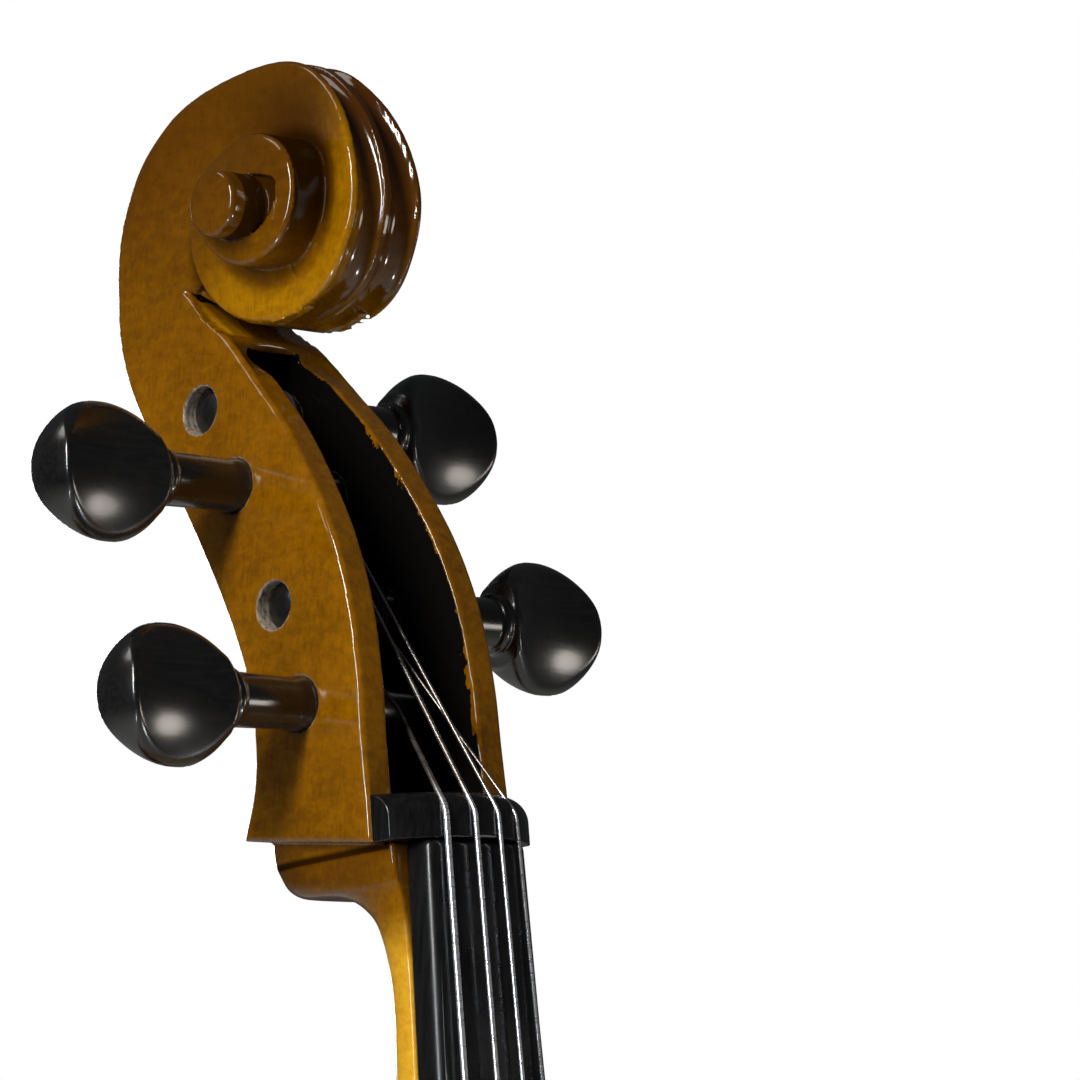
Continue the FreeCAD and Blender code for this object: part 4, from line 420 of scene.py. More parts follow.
# the volute's turns about its centre: angle in degrees from the back over the top, radius, and
# half width at the edge; one turn after another is told apart at the cut
SCROLL_CENTRE = (36.0, 160.0)
FIRST_ANGLE = -30
TURN_CUT = 250
OUTER_FACE = ((-30, 14.3), (0, 13.6), (25, 11.4), (45, 9.6), (75, 7.9), (100, 7.6), (119, 8.2),
              (137, 9.5), (154, 10.7), (174, 11.6), (203, 12.1), (225, 12.4), (270, 12.7),
              (330, 13.2))
SECOND_TURN = ((250, 27.0, 10.6), (275, 26.8, 12.2), (300, 27.0, 13.8), (320, 26.4, 15.4),
               (340, 25.0, 16.8), (360, 22.9, 17.8), (390, 20.6, 18.2), (420, 19.2, 18.3),
               (450, 18.7, 18.3), (480, 18.7, 18.4), (500, 18.4, 18.6), (520, 17.5, 18.8),
               (540, 16.6, 19.1), (565, 15.8, 19.6), (600, 15.0, 20.5), (610, 14.8, 20.8))
THIRD_TURN = ((610, 14.8, 20.8), (640, 14.0, 22.2), (670, 12.8, 24.0), (700, 11.4, 26.2),
              (730, 10.2, 28.2), (760, 9.2, 29.8), (790, 8.4, 30.9), (820, 8.2, 31.2))
EYE_RADIUS = 8.1
EYE_HALF = 31.3
EYE_CROWN = 0.5
INNER_TRENCH = ((43.4, 166.6), (38.8, 168.2), (32.0, 167.5), (25.2, 165.2), (24.6, 162.2),
                (25.4, 158.4), (28.6, 154.4), (33.0, 152.2), (38.0, 151.8), (41.0, 156.0))
INNER_TRENCH_FLOOR = 19.6
# where the outer rim starts, the last angle at the head's back, and the reach of the scroll's face
RIM_FROM = 146
BACK_ANGLE = 200
FACE_REACH = 31.5
FACE_START = (-25, 25)
FACE_DISH = 3.0
DISH_START = (0, 100)
FACE_SLOPE = 0.25
SLOPE_START = (270, 380)
SLOPE_END = (710, 615)
FLUTE_LAND = 1.9
FLUTE_RIDGE = 1.0
FLUTE_DEPTH = 3.3
FLUTE_ROUND = 0.7
FLUTE_FOOT = (6, 26)
FLUTE_GONE = (256, 285)
FLUTE_BACK = (345, 325)
EDGE_BEVEL = 0.9
TURN_BEVEL = 0.8
TRENCH_FILLET = 0.5
CHIN_FILLET = 0.6
NUT_LENGTH = 11.3
NUT_SEAT = 2.8
# the neck: drop below the nut, and depth, flare towards the chin's width, squareness
BOARD_NUT = 32.0
BOARD_END = 64.0
BOARD_LENGTH = 579.9
BOARD_STEP = 0.5
BOARD_SEAM = 0.3
CHIN_HALF = 19.4
NECK_OVERLAP = 8
LEAST_SLOPE = 0.01
NECK_DEPTH = ((-12, 47.0), (-2, 47.0), (3.3, 44.8), (6.5, 42.8), (8.3, 39.6), (9.2, 33.1),
              (9.9, 26.5), (12, 21.3), (16.4, 17.0), (21.9, 15.2), (28.3, 14.9), (39, 15.3),
              (54, 16.2), (98, 16.8), (160, 17.6), (190, 18.6), (198, 19.6), (204.4, 22.6),
              (212.8, 31.9), (221.2, 48.0), (229.6, 79.0), (238, 127.5), (243.6, 168.0),
              (300, 168.0))
CHIN_FLARE = ((-12, 1), (3, 1), (8.3, 0.83), (9.9, 0.69), (12.7, 0.5), (16.4, 0.33), (21.9, 0.17),
              (28.3, 0.05), (36, 0), (60, 0), (300, 0))
NECK_SQUARE = ((-12, 6), (3, 6), (8.3, 4.8), (10, 4.4), (12.7, 3.8), (16.4, 3.2), (21.9, 2.8),
               (28.3, 2.4), (39, 2.1), (54, 2.05), (120, 2.05), (300, 2.05))
# the pegs: place (back, up) and the side of their heads; then their bores and shanks
PEG_PLACES = {"c": (25.1, 36.2, -1), "g": (46.4, 93.2, -1), "d": (58.8, 114.5, 1),
              "a": (32.6, 61.3, 1)}
PEG_SHANK = 6.7
PEG_TAPER = 0.02
PEG_GAP = 0.06
BORE_EDGE = 0.3
BORE_WINDOW = 12
# blocks to carve: back from and to, up from and to, and whether the head is in it
CARVE_HALF = 34.0
CARVE_BLOCKS = ((-14, 98, -64, 201, True), (-4, 34, -190, -64, False),
                (-4, 152, -302, -190, False))
VOXEL = 0.5 * COARSER
BAND = 3
# steps of the curves through outlines and tables
LINE_PARTS = 8
TABLE_PARTS = 6


# shapes worked out as distance fields, in millimetres of the neck frame

def smooth_line(points, parts=LINE_PARTS):
    """A curve through points, rounded evenly at each."""
    p = np.array(points, float)
    p = np.vstack((2 * p[0] - p[1], p, 2 * p[-1] - p[-2]))
    out = []
    for a, b, c, d in zip(p[:-3], p[1:-2], p[2:-1], p[3:]):
        for share in np.arange(parts) / parts:
            out.append(b + 0.5 * share * (c - a + share * (2 * a - 5 * b + 4 * c - d
                                                           + share * (3 * (b - c) + d - a))))
    return np.array(out + [p[-2]])


def line_distance(line, y, z):
    """Distance from each place of a flat grid to a line through points."""
    best = np.full(np.broadcast(y, z).shape, np.inf)
    for a, b in zip(line[:-1], line[1:]):
        d = b - a
        share = np.clip(((y - a[0]) * d[0] + (z - a[1]) * d[1]) / max(d @ d, 1e-9), 0, 1)
        best = np.minimum(best, (y - a[0] - share * d[0]) ** 2 + (z - a[1] - share * d[1]) ** 2)
    return np.sqrt(best)


def outline_distance(line, y, z):
    """Distance to a closed outline, negative inside it."""
    ring = np.vstack((line, line[:1]))
    odd = np.zeros(np.broadcast(y, z).shape, bool)
    for a, b in zip(ring[:-1], ring[1:]):
        if a[1] != b[1]:
            odd ^= ((a[1] > z) != (b[1] > z)) & (
                y < a[0] + (z - a[1]) * (b[0] - a[0]) / (b[1] - a[1]))
    return np.where(odd, -1, 1) * line_distance(ring, y, z)


def table(rows, value, column=1):
    """A value read off the rows of a table, along its first column."""
    rows = smooth_line(rows, TABLE_PARTS)
    return np.interp(value, np.maximum.accumulate(rows[:, 0]), rows[:, column])


def step(low, high, value):
    """A smooth step, from 0 at low to 1 at high; low may be the greater."""
    share = np.clip((value - low) / (high - low), 0, 1)
    return share * share * (3 - 2 * share)


def chamfered(a, b, size):
    """Where two fields overlap, with the edge between them cut off."""
    return np.maximum(np.maximum(a, b), (a + b + size) * math.sqrt(0.5))


def rounded(a, b, radius):
    """Where two fields overlap, with the edge between them rounded."""
    deep = np.minimum(np.maximum(a, b), -radius)
    return deep + np.hypot(np.maximum(a + radius, 0), np.maximum(b + radius, 0))


def joined(a, b, radius):
    """Two fields together, with a small fillet where they meet."""
    return -rounded(-a, -b, radius)


def pegbox_half(z):
    """Half the pegbox's width, up the neck."""
    share = np.clip(z / THROAT_UP, 0, 1)
    return PEGBOX_HALF - (PEGBOX_HALF - PEGBOX_TOP_HALF) * share ** 2


def cavity_outline(front):
    """The pegbox's hollow seen from the side: its back, and its open front up to the throat."""
    opening = front[front[:, 1] < CAVITY_TOP] - (CAVITY_LEAD, 0)
    return np.vstack((smooth_line(CAVITY_BACK), opening))


def about_the_eye(y, z):
    """Distance from the scroll's centre, and the angle there from the back over the top."""
    y, z = y - SCROLL_CENTRE[0], z - SCROLL_CENTRE[1]
    return np.hypot(y, z), (np.degrees(np.arctan2(z, y)) - FIRST_ANGLE) % 360 + FIRST_ANGLE


def on_turn(angle, turn):
    """The angle as it counts on along the volute's second (1) or third (2) turn."""
    return np.where(angle < TURN_CUT, angle + 360 * turn, angle + 360 * (turn - 1))


def on_the_face(radius, angle):
    """Whether a place belongs to the scroll, not to the throat below it."""
    return (angle < BACK_ANGLE) | (radius < FACE_REACH)


def bore_radius(up, outward, gap=0.0):
    """Radius of a peg's taper, and a gap; outward runs along the peg from the pegbox's middle."""
    return PEG_SHANK + gap - PEG_TAPER * (pegbox_half(up) - outward)


def head_field(x, y, z):
    """The pegbox and the scroll. x is a column of half widths, y and z a flat grid."""
    back = smooth_line(HEAD_BACK + (THROAT_END,))
    front = smooth_line(CHEEK_FRONT)
    side = outline_distance(np.vstack((back, front, np.array(HEAD_FOOT))), y, z)
    fluted = line_distance(back, y, z)
    radius, angle = about_the_eye(y, z)
    rim_radius, rim_angle = about_the_eye(back[:, 0], back[:, 1])
    keep = np.arange(len(back)) >= np.argmax(back[:, 1] > RIM_FROM)
    order = np.argsort(rim_angle[keep])
    outer = np.interp(angle, rim_angle[keep][order], rim_radius[keep][order])
    second_angle, third_angle = on_turn(angle, 1), on_turn(angle, 2)
    second = table(SECOND_TURN, second_angle)
    third = table(THIRD_TURN, third_angle)
    in_turn = on_the_face(radius, angle)
    # the body: cheeks, dished faces, flutes, throat and hollow
    share = np.where(in_turn, step(*FACE_START, angle), 0)
    dish = FACE_DISH * step(*DISH_START, angle) * step(0, 1, (outer - radius) / (outer - second))
    half = (1 - share) * pegbox_half(z) + share * (table(OUTER_FACE, angle) - dish)
    edge = half[None] - x
    run = np.clip((edge - FLUTE_LAND) / (half[None] - FLUTE_LAND - FLUTE_RIDGE), 0, 1)
    running = step(*FLUTE_FOOT, z) * np.where(
        in_turn, 1 - step(*FLUTE_GONE, angle) * step(*FLUTE_BACK, angle), 1)
    depth = FLUTE_DEPTH * running * (1 - (2 * run - 1) ** 2) ** FLUTE_ROUND
    body = np.maximum(side[None], depth - fluted[None])
    below = np.where(angle < BACK_ANGLE, 0, step(*THROAT_FROM, radius) * step(*THROAT_RANGE, z))
    trough = THROAT_HOLLOW * below[None] * np.sqrt(
        np.clip(1 - (x / (half[None] - THROAT_LAND)) ** 2, 0, 1))
    body = np.maximum(body, trough - line_distance(front, y, z)[None])
    body = chamfered(body, -edge, EDGE_BEVEL)
    cavity = rounded(outline_distance(cavity_outline(front), y, z)[None],
                     x - (pegbox_half(z) - CHEEK_THICKNESS)[None], CAVITY_CORNER)
    body = rounded(body, -cavity, INNER_EDGE)
    # the second turn with its trench, the third turn and the eye
    slope = FACE_SLOPE * step(*SLOPE_START, second_angle)
    face = table(SECOND_TURN, second_angle, 2) + slope * (second - radius)
    wall = np.maximum((radius - second)[None], depth - fluted[None])
    turn = chamfered(wall, x - face[None], TURN_BEVEL)
    trench = np.maximum(outline_distance(smooth_line(INNER_TRENCH), y, z)[None],
                        INNER_TRENCH_FLOOR - x)
    turn = np.maximum(turn, -trench)
    face = (table(THIRD_TURN, third_angle, 2)
            + FACE_SLOPE * step(*SLOPE_END, third_angle) * (third - radius))
    last = chamfered((radius - third)[None], x - face[None], TURN_BEVEL)
    crown = EYE_HALF - EYE_CROWN * (radius / EYE_RADIUS) ** 2
    eye = chamfered((radius - EYE_RADIUS)[None], x - crown[None], TURN_BEVEL)
    whole = joined(body, turn, TRENCH_FILLET)
    return np.minimum(np.minimum(whole, last), eye)


def neck_field(x, y, z):
    """The neck with its chin and heel, let into the body."""
    drop = -z[0]
    half = (BOARD_NUT + (BOARD_END - BOARD_NUT) * drop / BOARD_LENGTH) / 2 - BOARD_STEP
    half = half + table(CHIN_FLARE, drop) * (CHIN_HALF - half)
    deep = table(NECK_DEPTH, drop)
    bulk = table(NECK_SQUARE, drop)
    field = ((x / half) ** bulk + (np.maximum(y, 0)[None] / deep) ** bulk) ** (1 / bulk) - 1
    slopes = np.gradient(field, VOXEL)
    field = field / np.maximum(np.sqrt(sum(s * s for s in slopes)), LEAST_SLOPE)
    field = rounded(field, -y[None] + 0 * x, BOARD_SEAM)
    world_y = (y * math.cos(NECK_ANGLE) + z * math.sin(NECK_ANGLE) + NECK_ORIGIN.y)[None]
    world_z = (z * math.cos(NECK_ANGLE) - y * math.sin(NECK_ANGLE) + NECK_ORIGIN.z)[None]
    field = np.maximum(field, world_y - HALF_RIB)
    return np.maximum(field, BODY_TOP - MORTISE - world_z)


def bored(field, x, y, z):
    """Cuts the pegs' tapered holes through the whole width."""
    for back, up, side in PEG_PLACES.values():
        rows = np.abs(y[:, 0] - back) < BORE_WINDOW
        columns = np.abs(z[0] - up) < BORE_WINDOW
        if rows.any() and columns.any():
            window = np.ix_(np.ones(len(x), bool), rows, columns)
            reach = np.hypot(y - back, z - up)[np.ix_(rows, columns)][None]
            bore = bore_radius(up, side * x, PEG_GAP)
            field[window] = rounded(field[window], bore - reach, BORE_EDGE)
    return field


def surface_of(blocks, size):
    """The surface of distance fields, each given with its corner in steps of the one grid."""
    grid = openvdb.FloatGrid(BAND * size)
    for field, corner in blocks:
        field = np.clip(field, -BAND * size, BAND * size)
        grid.copyFromArray(np.ascontiguousarray(field, np.float32), ijk=corner)
    points, _, quads = grid.convertToPolygons(isovalue=0.0, adaptivity=0.0)
    return points * size, quads


def neck_blocks():
    """The fields of the neck, pegbox and scroll, block by block, and each block's corner."""
    count = int(CARVE_HALF / VOXEL)
    x = (np.arange(count + 1) * VOXEL)[:, None, None]
    whole_x = (np.arange(-count, count + 1) * VOXEL)[:, None, None]
    for y_low, y_high, z_low, z_high, headed in CARVE_BLOCKS:
        rows = np.arange(round(y_low / VOXEL), round(y_high / VOXEL))
        columns = np.arange(round(z_low / VOXEL), round(z_high / VOXEL))
        y, z = np.meshgrid(rows * VOXEL, columns * VOXEL, indexing="ij")
        field = neck_field(x, y, z)
        if headed:
            field = joined(np.maximum(field, (z - NECK_OVERLAP)[None]), head_field(x, y, z),
                           CHIN_FILLET)
            seat = np.maximum(np.maximum(-z, z - NUT_LENGTH), y - NUT_SEAT)[None]
            field = np.maximum(field, -seat)
        field = np.concatenate((field[:0:-1], field))
        if headed:
            field = bored(field, whole_x, y, z)
        yield field, (-count, int(rows[0]), int(columns[0]))


# pieces

def new_object(name, data):
    """An object of its own in the scene."""
    made = bpy.data.objects.new(name, data)
    scene.collection.objects.link(made)
    return made


def stand_in(piece, name):
    """Puts a piece in the place of a CAD node, with the node's stuff and body."""
    made, slot = stuff_of(name)
    piece.data.materials.clear()
    piece.data.materials.append(made)
    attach(piece, body_of(nodes[name])[0])
    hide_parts(name)


def mesh_piece(title, points, quads, name):
    """A piece from millimetre points of the neck frame, in the place of a CAD node."""
    mesh = bpy.data.meshes.new(title)
    mesh.vertices.add(len(points))
    mesh.vertices.foreach_set("co", from_neck(points).astype(np.float32).ravel())
    mesh.loops.add(quads.size)
    mesh.loops.foreach_set("vertex_index", quads.astype(np.int32).ravel())
    mesh.polygons.add(len(quads))
    starts = np.arange(len(quads)) * quads.shape[1]
    mesh.polygons.foreach_set("loop_start", starts.astype(np.int32))
    mesh.update(calc_edges=True)
    mesh.validate()
    mesh.shade_smooth()
    piece = new_object(title, mesh)
    stand_in(piece, name)
    return piece


# marks on the carved neck: a fade, start, end, width or height gives first where a mark is
# nothing, then where it is full
CAVITY_LOWEST = 8
CAVITY_HIGHEST = 150
CAVITY_SLACK = 0.4
CAVITY_SIDE_SLACK = 0.25
CHIP_FADE = (0, 5.0)
BORE_FADE = (0.45, 0.15)
SCROLL_UP = 120
SCROLL_REACH = 42
TURN_SLACK = 0.3
TURN_STEP = 0.6
SHADE_FADE = (5.5, 0.6)
SHADE_START = (275, 350)
SHADE_END = (610, 540)
PIT_SHADE = 0.9
PIT_SLACK = 0.2
PIT_HALF = 27
NUT_LEDGE = (-1.9, -1.2)
NUT_LEDGE_TOP = (0.5, 0.0)
NUT_LEDGE_BACK = 1
FAR_FLUTE = (-9, -2)
FLUTE_HEIGHT = (130, 141)
# a painted golden band of light on the scroll's face, which also lifts the painted shade
LIT_BAND_WIDTH = (3.0, 7.0)
LIT_BAND_START = (110, 170)
LIT_BAND_END = (338, 300)
LIT_BAND_HALF = 5.5
LIT_BAND_LIFTS_SHADE = 0.8
# painted shade: towards the top, in the far flute, at the back and under the chin's ledge
TOP_SHADE = 0.72
TOP_SHADE_HEIGHT = (112, 196)
FAR_FLUTE_SHADE = 0.42
BACK_SHADE = 0.14
BACK_SHADE_SIDE = (-14, -20)
CHIN_SHADE = 0.4
CHIN_SHADE_HEIGHT = (-16, -6)
CHIN_SHADE_TOP = -0.5
FRONT_FADE = (12, -2)
FRONT_HEIGHT = (120, 90)
HANDLE_START = (14, 30)
HANDLE_END = (226, 205)


def mark(piece, name, values):
    """Keeps one number per point of a piece for its material."""
    field = piece.data.attributes.new(name, "FLOAT", "POINT")
    field.data.foreach_set("value", np.ascontiguousarray(values, np.float32))


def mark_neck(piece, points):
    """Where the carved neck is black and raw, in painted shade, lit by a painted golden band, and
    pale along the hand.
    """
    across, y, z = points.T
    x = np.abs(across)
    front = smooth_line(CHEEK_FRONT)
    lead = y - np.interp(z, front[::-1, 1], front[::-1, 0])
    # black inside the pegbox
    near = (z > CAVITY_LOWEST) & (z < CAVITY_HIGHEST) & (x < PEGBOX_HALF)
    within = (outline_distance(cavity_outline(front), y[near], z[near]) < CAVITY_SLACK) & (
        x[near] < pegbox_half(z[near]) - CHEEK_THICKNESS + CAVITY_SIDE_SLACK)
    inside = np.zeros(len(points))
    inside[near] = np.where(within, step(*CHIP_FADE, lead[near]), 0)
    mark(piece, "inside", inside)
    # raw wood in the pegs' holes
    raw = np.zeros(len(points))
    for back, up, side in PEG_PLACES.values():
        wall = np.hypot(y - back, z - up) - bore_radius(up, side * across)
        raw = np.maximum(raw, step(*BORE_FADE, wall))
    mark(piece, "raw", raw)
    # painted shade beside the second turn, in the pit by the eye and under the nut's ledge
    radius, angle = about_the_eye(y, z)
    turned = on_turn(angle, 1)
    second = table(SECOND_TURN, turned)
    far = radius - second
    outside = (radius > second - TURN_SLACK) & (z > SCROLL_UP) & (radius < SCROLL_REACH)
    lower = x < table(SECOND_TURN, turned, 2) - TURN_STEP
    shade = np.where(outside & lower, step(*SHADE_FADE, far), 0) * (
        step(*SHADE_START, turned)) * step(*SHADE_END, turned)
    pit = outline_distance(smooth_line(INNER_TRENCH), y, z)
    shade = np.maximum(shade, np.where((pit < PIT_SLACK) & (x < PIT_HALF) & (z > SCROLL_UP),
                                       PIT_SHADE, 0))
    under = step(*NUT_LEDGE, z) * step(*NUT_LEDGE_TOP, z) * (y > NUT_LEDGE_BACK)
    mark(piece, "shade", np.maximum(shade, under))
    # a painted golden band of light along the scroll's face, and painted shade at the top, in the
    # far flute, at the back and under the chin
    fluting = step(*FAR_FLUTE, across) * step(*FLUTE_HEIGHT, z)
    far = np.where(angle < TURN_CUT, far, radius - table(THIRD_TURN, angle + 360))
    outside = (far > 0) & (z > SCROLL_UP) & on_the_face(radius, angle)
    lit_band = step(*LIT_BAND_WIDTH, far) * step(*LIT_BAND_START, angle) * step(*LIT_BAND_END, angle)
    lit_band = np.where(outside & (x > LIT_BAND_HALF), lit_band, 0) * (1 - fluting)
    mark(piece, "lit_band", lit_band)
    edge = step(*FRONT_FADE, lead) * step(*FRONT_HEIGHT, z)
    falloff_shade = TOP_SHADE * step(*TOP_SHADE_HEIGHT, z) + FAR_FLUTE_SHADE * fluting + (
        BACK_SHADE * (1 - edge) * step(*BACK_SHADE_SIDE, across))
    falloff_shade = falloff_shade * (1 - LIT_BAND_LIFTS_SHADE * lit_band) + CHIN_SHADE * step(*CHIN_SHADE_HEIGHT, z) * (z < CHIN_SHADE_TOP)
    mark(piece, "falloff_shade", np.clip(falloff_shade, 0, 1))
    mark(piece, "handle", step(*HANDLE_START, -z) * step(*HANDLE_END, -z))


# the pegs, in millimetres along and across their own axis; a reach is from the pegbox's side to
# the middle of the head
PEG_VOXEL = 0.4
PEG_MARGIN = 2
PEG_REACH = {"c": 43, "g": 44, "d": 46, "a": 48}
PEG_SLIMMER = 0.075
PEG_SLIM_FROM = (0.5, 4)
PEG_START = 14.2
PEG_COLLAR = 7.0
PEG_BEAD = 1.25
PEG_BEAD_ROUND = 0.6
PEG_HEAD = 28.9
PEG_BALL = 17.4
PEG_BALL_FROM = 11.8
PEG_THROAT = 9.2
PEG_THROAT_FROM = 4
PEG_THROAT_HALF = 5
PEG_FILLET = 2.5
PEG_SEAM = 0.6
SHANK_OVERLAP = 1
CREST_EASE = 0.9
RIM_EASE = 1.6
RIM_FROM_CREST = (4, 13)
FACE_HOLLOW = 60.0
FACE_MIDDLE = 14.0
FACE_WEB = 11.5
FACE_BULGE = 62.0
TIP_DOME = 22.0
TIP_RECESS = 2.0
TIP_EDGE = 0.8


def peg_field(a, y, z, reach, tip):
    """A peg along its axis: a grows outward from the pegbox's side; reach is its head's middle."""
    out = 1 - PEG_SLIMMER * step(*PEG_SLIM_FROM, a)
    around = np.hypot(y, z)
    start = reach - PEG_START
    bead = start - PEG_COLLAR
    share = np.clip((a - bead) / PEG_COLLAR, 0, 1)
    beads = PEG_BEAD * np.abs(np.sin(2 * math.pi * share)) ** PEG_BEAD_ROUND
    beads = np.where((a > bead) & (a < start), beads, 0)
    shank = around - (PEG_SHANK + PEG_TAPER * a + beads) * out
    ends = np.maximum(tip - a + around ** 2 / TIP_DOME, a - start - SHANK_OVERLAP)
    shank = rounded(shank, ends, TIP_EDGE)
    along = a - start
    ball = np.sqrt((along - PEG_BALL_FROM) ** 2 + around ** 2) - PEG_BALL
    throat = np.maximum(around - PEG_THROAT, np.abs(along - PEG_THROAT_FROM) - PEG_THROAT_HALF)
    head = joined(ball, throat, PEG_FILLET)
    ease = CREST_EASE + RIM_EASE * step(*RIM_FROM_CREST, np.abs(z))
    face = np.abs(y) + z ** 2 / FACE_BULGE - FACE_WEB / 2 - FACE_HOLLOW
    hollow = FACE_HOLLOW - np.hypot(along - FACE_MIDDLE, face)
    head = rounded(head, hollow, ease)
    return joined(shank, head, PEG_SEAM)


def make_peg(string):
    """One peg, from its domed tip in the far cheek to its head."""
    back, up, side = PEG_PLACES[string]
    half = pegbox_half(up)
    tip = TIP_RECESS - 2 * half
    reach = PEG_REACH[string]
    size = PEG_VOXEL * COARSER
    low = int(tip / size) - BAND
    high = int((reach + PEG_HEAD / 2 + PEG_MARGIN) / size)
    across = int((PEG_BALL + PEG_MARGIN) / size)
    a = (np.arange(low, high) * size)[:, None, None]
    width = np.arange(-across, across + 1) * size
    field = peg_field(a, width[None, :, None], width[None, None, :], reach, tip)
    found, quads = surface_of([(field, (low, -across, -across))], size)
    found = np.column_stack((side * (half + found[:, 0]), back + found[:, 1], up + found[:, 2]))
    mesh_piece("turned_peg_" + string, found, quads[:, ::-1] if side > 0 else quads,
               "peg_" + string)


# copies of CAD nodes, in metres
WELD = 0.00001
BEVEL_WIDTH = 0.0022
BEVEL_PARTS = 5
BEVEL_ANGLE = math.radians(35)
SHARP_ANGLE = math.radians(40)
SMOOTHING = 0.5
NUT_STRETCH = 1.18
# how far the strings' copies are drawn in, in millimetres, on the board and inside the pegbox
STRING_DRAWN = {"c": (0.18, 0.42), "g": (0.12, 0.28), "d": (0.05, 0.16), "a": (0.0, 0.06)}
DRAWN_FADE = (NUT_TOP - 0.003, NUT_TOP + 0.008)
# softened copies: voxel, and rounds of smoothing
EASED = {"nut": (0.00025, 4), "bridge": (0.0005, 3), "tailpiece": (0.0006, 3),
         "saddle": (0.0004, 3), "thumbscrew": (0.0002, 3)}


def welded(title, name, change=None):
    """A piece that copies a CAD node, in the cello's frame and with its points joined."""
    node = nodes[name]
    mesh = node.data.copy()
    shape = bmesh.new()
    shape.from_mesh(mesh)
    shape.transform(node.matrix_world)
    bmesh.ops.remove_doubles(shape, verts=shape.verts, dist=WELD)
    if change:
        change(shape)
    shape.to_mesh(mesh)
    shape.free()
    return new_object(title, mesh)


def bake(piece):
    """Turns a piece's modifiers into its mesh."""
    seen = bpy.context.evaluated_depsgraph_get()
    done = bpy.data.meshes.new_from_object(piece.evaluated_get(seen))
    piece.modifiers.clear()
    piece.data = done
    return done


def thinned(string):
    """A copy of a string, drawn in to its real thickness on the board and inside the pegbox."""
    board, inside = STRING_DRAWN[string]

    def draw_in(shape):
        bmesh.ops.recalc_face_normals(shape, faces=shape.faces)
        shape.normal_update()
        for corner in shape.verts:
            share = float(step(*DRAWN_FADE, corner.co.z))
            corner.co -= corner.normal * (board + (inside - board) * share) * MM

    piece = welded("slim_string_" + string, "string_" + string, draw_in)
    piece.data.shade_smooth()
    stand_in(piece, "string_" + string)


def beveled(name, width):
    """A copy of a CAD node with its sharp edges broken."""
    piece = welded("beveled_" + name, name)
    edge = piece.modifiers.new("edge", "BEVEL")
    edge.width = width
    edge.segments = BEVEL_PARTS
    edge.limit_method = "ANGLE"
    edge.angle_limit = BEVEL_ANGLE
    edge.use_clamp_overlap = False
    done = bake(piece)
    done.shade_smooth()
    done.set_sharp_from_angle(angle=SHARP_ANGLE)
    stand_in(piece, name)


def lengthen_nut(mesh):
    """Stretches the nut up the neck, to the length seen on the real one."""
    places = np.empty(len(mesh.vertices) * 3, np.float32)
    mesh.vertices.foreach_get("co", places)
    local = to_neck(places.reshape(-1, 3))
    local[:, 2] *= NUT_STRETCH
    mesh.vertices.foreach_set("co", from_neck(local).astype(np.float32).ravel())
    mesh.update()


def eased(name, voxel, rounds):
    """A copy of a CAD node with its edges softened, in the node's place."""
    piece = welded("eased_" + name, name)
    again = piece.modifiers.new("again", "REMESH")
    again.mode = "VOXEL"
    again.voxel_size = voxel * COARSER
    again.use_smooth_shade = True
    soft = piece.modifiers.new("soft", "SMOOTH")
    soft.factor = SMOOTHING
    soft.iterations = rounds
    done = bake(piece)
    if name == "nut":
        lengthen_nut(done)
    stand_in(piece, name)


points, quads = surface_of(neck_blocks(), VOXEL)
carved = mesh_piece("carved_neck", points, quads[:, ::-1], "neck_and_scroll")
mark_neck(carved, points)
beveled("fingerboard", BEVEL_WIDTH)
for string in STRINGS:
    make_peg(string)
    thinned(string)
for name, (voxel, rounds) in EASED.items():
    eased(name, voxel, rounds)

# the camera, fitted to the photograph, in the neck frame

CAMERA_PLACE = (-840.08, -856.02, -147.46)
CAMERA_RIGHT = (0.70597, -0.70448, -0.07287)
CAMERA_UP = (-0.07621, -0.17786, 0.98110)
CAMERA_LENS = 171.0
CAMERA_SENSOR = 36.0
CAMERA_SEES = (0.05, 20)
# area lights that look at the head: place, power, width, height and colour
LIT_PLACE = Vector((0, 0, 1.15))
LAMPS = {
    "key": ((-1.6, -0.35, 2.1), 33, 0.35, 0.9, (1.0, 0.97, 0.92)),
    "left_strip": ((-1.75, -0.3, 1.45), 13, 0.1, 0.6, (0.84, 0.92, 1.0)),
    "back_left": ((-1.1, 0.9, 2.7), 6, 0.8, 0.8, (1.0, 0.95, 0.88)),
    "right_soft": ((1.15, -1.25, 0.95), 3.6, 0.5, 0.4, (1.0, 0.93, 0.84)),
    "behind": ((1.1, 2.1, 1.3), 14, 0.8, 0.8, (1.0, 0.97, 0.93)),
    "low_left": ((-0.75, -0.55, 0.35), 1.6, 0.12, 0.07, (0.92, 0.96, 1.0)),
    "low_right": ((0.5, -0.95, 0.45), 1.8, 0.12, 0.07, (1, 1, 1)),
}
SOFT_GREY = (0.9, 0.95, 1.0, 1)
SOFT_STRENGTH = 0.05
FLOOR_REACH = 4.0
FLOOR_GREY = (0.86, 0.86, 0.86, 1)
FLOOR_ROUGHNESS = 0.8
FLOOR_GLOW = 0.5
WHITE = (1, 1, 1, 1)


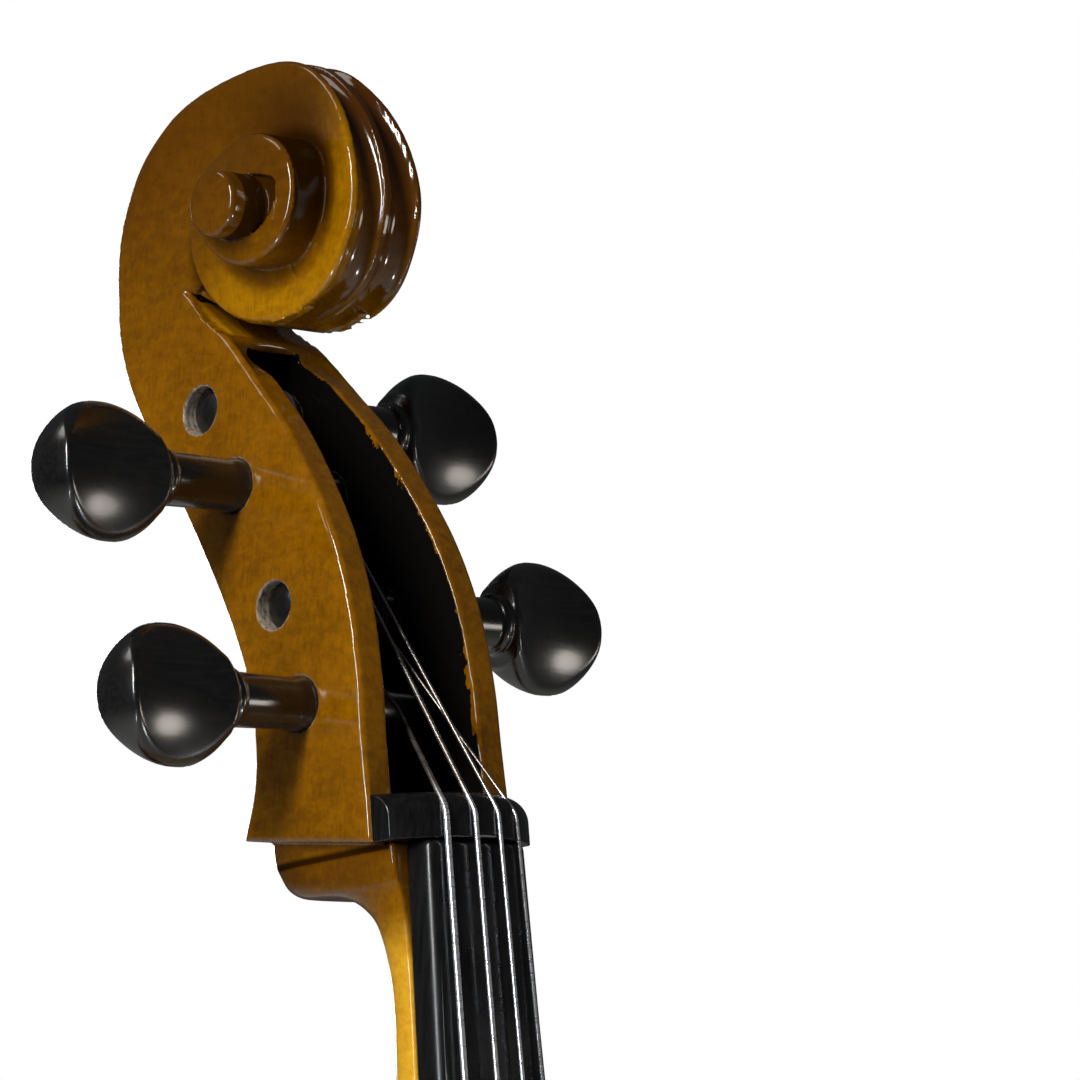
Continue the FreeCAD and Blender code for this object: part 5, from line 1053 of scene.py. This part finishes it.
def make_camera():
    data = bpy.data.cameras.new("camera")
    data.sensor_width = CAMERA_SENSOR
    data.lens = CAMERA_LENS
    data.clip_start, data.clip_end = CAMERA_SEES
    camera = new_object("camera", data)
    right = NECK_TURN @ Vector(CAMERA_RIGHT).normalized()
    up = NECK_TURN @ Vector(CAMERA_UP).normalized()
    back = right.cross(up).normalized()
    turn = Matrix((right, back.cross(right), back)).transposed().to_4x4()
    place = (NECK_TURN @ Vector(CAMERA_PLACE) + NECK_ORIGIN) * MM
    camera.matrix_world = Matrix.Translation(place) @ turn
    scene.camera = camera


def make_lamp(name, place, power, wide, high, colour):
    data = bpy.data.lights.new(name, "AREA")
    data.shape = "ELLIPSE"
    data.size, data.size_y = wide, high
    data.energy = power
    data.color = colour
    light = new_object(name, data)
    light.location = place
    light.rotation_euler = (LIT_PLACE - light.location).to_track_quat("-Z", "Y").to_euler()


def make_world():
    """White to the camera, soft grey to everything else."""
    world = bpy.data.worlds.new("studio")
    world.use_nodes = True
    scene.world = world
    tree = world.node_tree
    seen = tree.nodes["Background"]
    fill(tree, seen, {"Color": WHITE, "Strength": 1.0})
    soft = add(tree, "ShaderNodeBackground", {"Color": SOFT_GREY, "Strength": SOFT_STRENGTH})
    rays = add(tree, "ShaderNodeLightPath")
    either = add(tree, "ShaderNodeMixShader", {"Fac": rays.outputs["Is Camera Ray"]})
    tree.links.new(soft.outputs[0], either.inputs[1])
    tree.links.new(seen.outputs[0], either.inputs[2])
    tree.links.new(either.outputs[0], tree.nodes["World Output"].inputs["Surface"])


def make_floor():
    """A plain pale floor under the endpin, which glows a little to the camera alone."""
    mesh = bpy.data.meshes.new("floor")
    corners = ((-1, -1), (1, -1), (1, 1), (-1, 1))
    mesh.from_pydata([(x * FLOOR_REACH, y * FLOOR_REACH, cad_low.z) for x, y in corners], [],
                     [(0, 1, 2, 3)])
    floor = new_object("floor", mesh)
    made, tree, out = shader("floor")
    seen = add(tree, "ShaderNodeLightPath").outputs["Is Camera Ray"]
    fill(tree, out, {"Base Color": FLOOR_GREY, "Roughness": FLOOR_ROUGHNESS,
                     "Emission Color": WHITE,
                     "Emission Strength": maths(tree, "MULTIPLY", seen, FLOOR_GLOW)})
    mesh.materials.append(made)


make_camera()
make_world()
make_floor()
for name, settings in LAMPS.items():
    make_lamp(name, *settings)
scene.view_settings.view_transform = "Standard"
